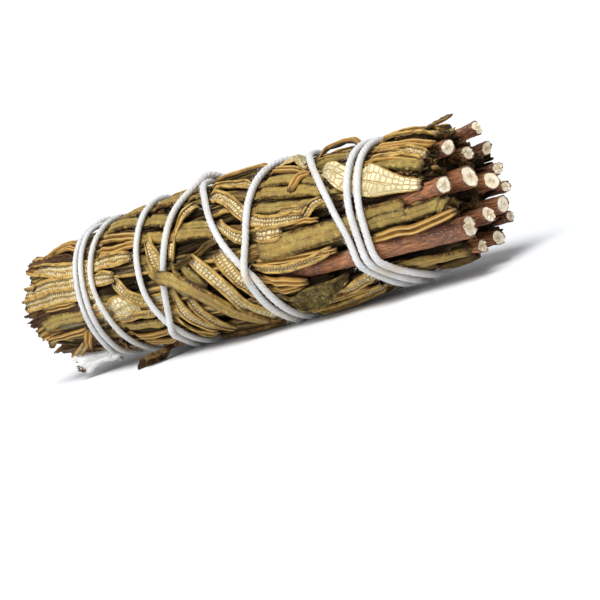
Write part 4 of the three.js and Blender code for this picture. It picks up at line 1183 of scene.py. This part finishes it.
# Golden ridges: partly the leaf's own rolled margins, partly a painted highlight.
colour = (ridge.between(0.80, 1.0) * tone.between(0.1, 0.6) * 0.7).over(colour, (0.68, 0.47, 0.17))
# Painted shade in the creases and under the rolled edges.
colour = ridge.between(0.58, 0.28).over(colour, (0.025, 0.012, 0.005))
colour = (tip * 0.7).over(colour, (0.06, 0.03, 0.011))
# Painted shade by depth.
colour = (shade * 0.94).over(colour, (0.018, 0.009, 0.003))
gloss = 0.36 + 0.3 * grain + 0.5 * shade
folded.data.materials.append(end(colour, gloss, grain + 0.6 * scurf, 0.00026, Specular_IOR_Level=0.22))

# Shrivelled leaves are nearly black, with paler ridges: partly their own colour, partly a painted highlight.
base, spot, flat, end = material("shrivelled_leaf")
tone, shade, ridge = parts_of(dye_and_shade_of(base))
kin = kin_of(tone, 43.0)
grain = noise(stretched(flat, 6, 0.9), 1.0, 5)
patch = noise(spot, 320, 4)
dark = kin.over((0.016, 0.010, 0.005), (0.040, 0.018, 0.011))
light = kin.over((0.14, 0.080, 0.028), (0.23, 0.100, 0.038))
colour = (tone * 0.9 + (grain - 0.5) * 1.4 + (patch - 0.5)).clamped().over(dark, light)
# Paler ridges: partly the leaf's own colour, partly a painted highlight.
colour = (ridge.between(0.75, 1.0) * tone * 0.6).over(colour, (0.55, 0.36, 0.13))
# Painted shade by depth.
colour = (shade * 0.9).over(colour, (0.014, 0.008, 0.004))
gloss = 0.55 + 0.4 * shade
shrivelled.data.materials.append(end(colour, gloss, grain + patch, 0.00022, Specular_IOR_Level=0.22))

# The heart's colour is painted shadow, nearly black.
base, spot, flat, end = material("leaf_shadow")
patch = noise(spot, 300, 4)
painted_shadow = patch.over((0.008, 0.005, 0.002), (0.03, 0.017, 0.007))
heart.data.materials.append(end(painted_shadow, 0.9, patch, 0.0003, Specular_IOR_Level=0.1))

pale_nodes = [f"pale_leaf_{i:02d}" for i in range(1, 25)]
for piece in (netted, smooth_leaves, folded, shrivelled, heart):
    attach(piece, "root")
    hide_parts("packed_leaves")
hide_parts(*pale_nodes)

# One long leaf has slipped out over the windings and lies on top of them. Its edges roll in and its
# upper side is like that of the other smooth leaves.
LOOSE = [(37.9, 82.5, 2.4), (42, 89.5, 2.3), (46.4, 102.5, 1.9), (51.4, 125.5, 1.5), (54.2, 145, 1.0)]
LOOSE_RINGS = 70
LOOSE_THICKNESS = 0.28
loose_shape = leaf(
    "smooth", 3.3, LOOSE, LOOSE_RINGS, leaf_draw, 0.455,
    ends=(0.8, 0.6), tilt=4, draped=False, held=False,
)
loose_sheet = copies(blank(2 * len(SECTIONS["smooth"]) - 1, LOOSE_RINGS), [loose_shape])
loose = harden(gather("loose_leaf_over_twine", loose_sheet), LOOSE_THICKNESS / 1000)
loose.data.materials.append(smooth_leaves.data.materials[0])
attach(loose, "root")
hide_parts("loose_leaf")

# The stems are woody, with reddish bark, cut across to the cream wood at the butt end. Each is a
# lumpy, tapered tube along its line, closed by a splintered cap.
STEM_TAPER = 0.62
STEM_SIDES = 22
STEM_RINGS = 64
CAP = [1.0, 0.93, 0.84, 0.62, 0.36, 0.16, 0.0]
CUT_UV = 200  # the cap's place along the UVs, away from the bark's
GIRTH_WAVE = 0.035
LUMPS = 0.12
BARK_GRAIN = 0.02
LONGEST_RAKE = 0.5  # how far the cut slants along the stem, for its width
SIDE_RAKE = 0.25
SPLINTERS = (0.08, 0.26)  # least and most
STUB = 0.04
stem_draw = np.random.default_rng(88)
stem_shapes = []
for width, path in STEMS:
    share = np.linspace(0, 1, STEM_RINGS - len(CAP) + 1)
    station, radius, turn = along(path, share).T
    line, out = place(station, radius, turn)
    up_from, side = frames(line, out)
    angle = np.linspace(0, 2 * math.pi, STEM_SIDES + 1)
    thick = width / 2 * (STEM_TAPER + (1 - STEM_TAPER) * share)
    thick = thick[:, None] * (1 + GIRTH_WAVE * wobble(share, stem_draw, 6))[:, None]
    lumps = sum(
        stem_draw.normal(0, LUMPS / k) * np.cos(k * angle + stem_draw.uniform(0, 6)) for k in (2, 3, 5)
    )
    thick = thick * (1 + lumps + BARK_GRAIN * stem_draw.normal(0, 1, (len(share), len(angle))))
    thick[:, -1] = thick[:, 0]
    thick[0] = 0
    ring = spokes(angle, up_from, side)
    points = line[:, None] + ring * thick[..., None]
    slope = np.array([0, stem_draw.uniform(0, LONGEST_RAKE), stem_draw.uniform(-SIDE_RAKE, SIDE_RAKE)])
    heading = line[-1] - line[-2]
    heading /= np.linalg.norm(heading)
    face = ring[-1] * thick[-1][:, None]
    rake = (face @ slope)[:, None] * heading
    points[-1] += rake
    torn = stem_draw.normal(0, stem_draw.uniform(*SPLINTERS), (len(CAP), len(angle), 1))
    torn[:, -1] = torn[:, 0]
    torn[-1] = 0
    points[-1] += heading * torn[0]
    cap = [
        line[-1] + (face + rake) * inward + heading * (STUB * (1 - inward) + torn[i + 1])
        for i, inward in enumerate(CAP[1:])
    ]
    points = np.concatenate([points, cap])
    points[:, -1] = points[:, 0]
    reach = np.cumsum(np.linalg.norm(np.gradient(line, axis=0), axis=-1))
    uv = grid_uv(angle * width / 2, np.concatenate([reach, [CUT_UV] * len(cap)]))
    inward = np.concatenate([np.ones(len(line)), CAP[1:]])
    wood = np.concatenate([np.zeros(len(line)), np.ones(len(cap))])
    parts = (stem_draw.random(), inward[:, None], wood[:, None], np.ones((1, len(angle))))
    stem_shapes.append((points, uv, np.stack(np.broadcast_arrays(*parts), -1)))
stems = gather("stems", copies(blank(STEM_SIDES + 1, STEM_RINGS), stem_shapes))
bpy.ops.object.shade_smooth_by_angle(angle=math.radians(CREASE))

# Bark is streaked along the stem, with darker patches and pale spots, and the cut wood is cream with
# a dark ring under the bark.
base, spot, flat, end = material("bark")
_, inward, wood = parts_of(dye_and_shade_of(base))
grain = noise(stretched(flat, 3.5, 0.35), 1.0, 5)
patch = noise(spot, 240, 4)
colour = grain.between(0.3, 0.7).over((0.075, 0.026, 0.012), (0.47, 0.190, 0.072))
colour = (patch.between(0.46, 0.62) * 0.65).over(colour, (0.100, 0.042, 0.036))
spots = flat.node("TexVoronoi", {"Vector": stretched(flat, 1.3, 0.7), "Scale": 1.0}, voronoi_dimensions="2D")
colour = (spots.between(0.15, 0.07) * 0.8 * patch.between(0.4, 0.6)).over(colour, (0.55, 0.38, 0.24))
pores = noise(spot, 2600, 2)
splinters = noise(spot, 1100, 4, 0.7)
cream = inward.between(0.05, 0.6).over((0.72, 0.52, 0.29), (0.95, 0.81, 0.57))
# Paler raised splinters: partly the pale torn fibres, partly a painted highlight.
cream = ((splinters - 0.42) * 3).clamped().over(cream, (1.0, 0.96, 0.85))
cream = (pores.between(0.56, 0.72) * 0.5).over(cream, (0.56, 0.36, 0.18))
cream = (inward + (splinters - 0.5) * 0.3).between(0.80, 0.94).over(cream, (0.20, 0.09, 0.04))
colour = wood.between(0.4, 0.9).over(colour, cream)
height = grain + pores * 0.5 + wood * splinters * 1.5
stems.data.materials.append(end(colour, 0.5 + 0.2 * wood, height, 0.00018, Specular_IOR_Level=0.4))
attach(stems, "root")
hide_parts(*[f"stem_{i:02d}" for i in range(1, 16)])

# The floor and the light are those of a light tent: pale all round, with a broad key light from
# above and a weaker one from the front. The camera sees the tent paler than it lights.
FLOOR_SIZE = 60
TENT_LIGHT = 0.43
TENT_SEEN = 0.62
LAMPS = [("key", 3.2, 32, (30, 10)), ("front_fill", 0.9, 50, (64, -28))]  # strength, width, tilt
bpy.ops.mesh.primitive_plane_add(size=FLOOR_SIZE)
floor = bpy.context.object
floor.name = "floor"
base, spot, flat, end = material("paper")
colour = noise(spot, 30).over((0.80, 0.81, 0.83), (0.82, 0.83, 0.85))
floor.data.materials.append(end(colour, 0.9, noise(spot, 900), 0.00002))
world = bpy.data.worlds.new("tent")
world.use_nodes = True
sky = world.node_tree.nodes["Background"]
sky.inputs["Color"].default_value = (0.95, 0.975, 1.0, 1)
seen = Dye(world.node_tree).node("LightPath")
world.node_tree.links.new((seen * TENT_SEEN + TENT_LIGHT).socket, sky.inputs["Strength"])
bpy.context.scene.world = world
for name, power, angle, tilt in LAMPS:
    bpy.ops.object.light_add(type="SUN", rotation=[math.radians(x) for x in (*tilt, 0)])
    lamp = bpy.context.object
    lamp.name = name
    lamp.data.energy = power
    lamp.data.angle = math.radians(angle)
bpy.context.scene.view_settings.view_transform = "Standard"
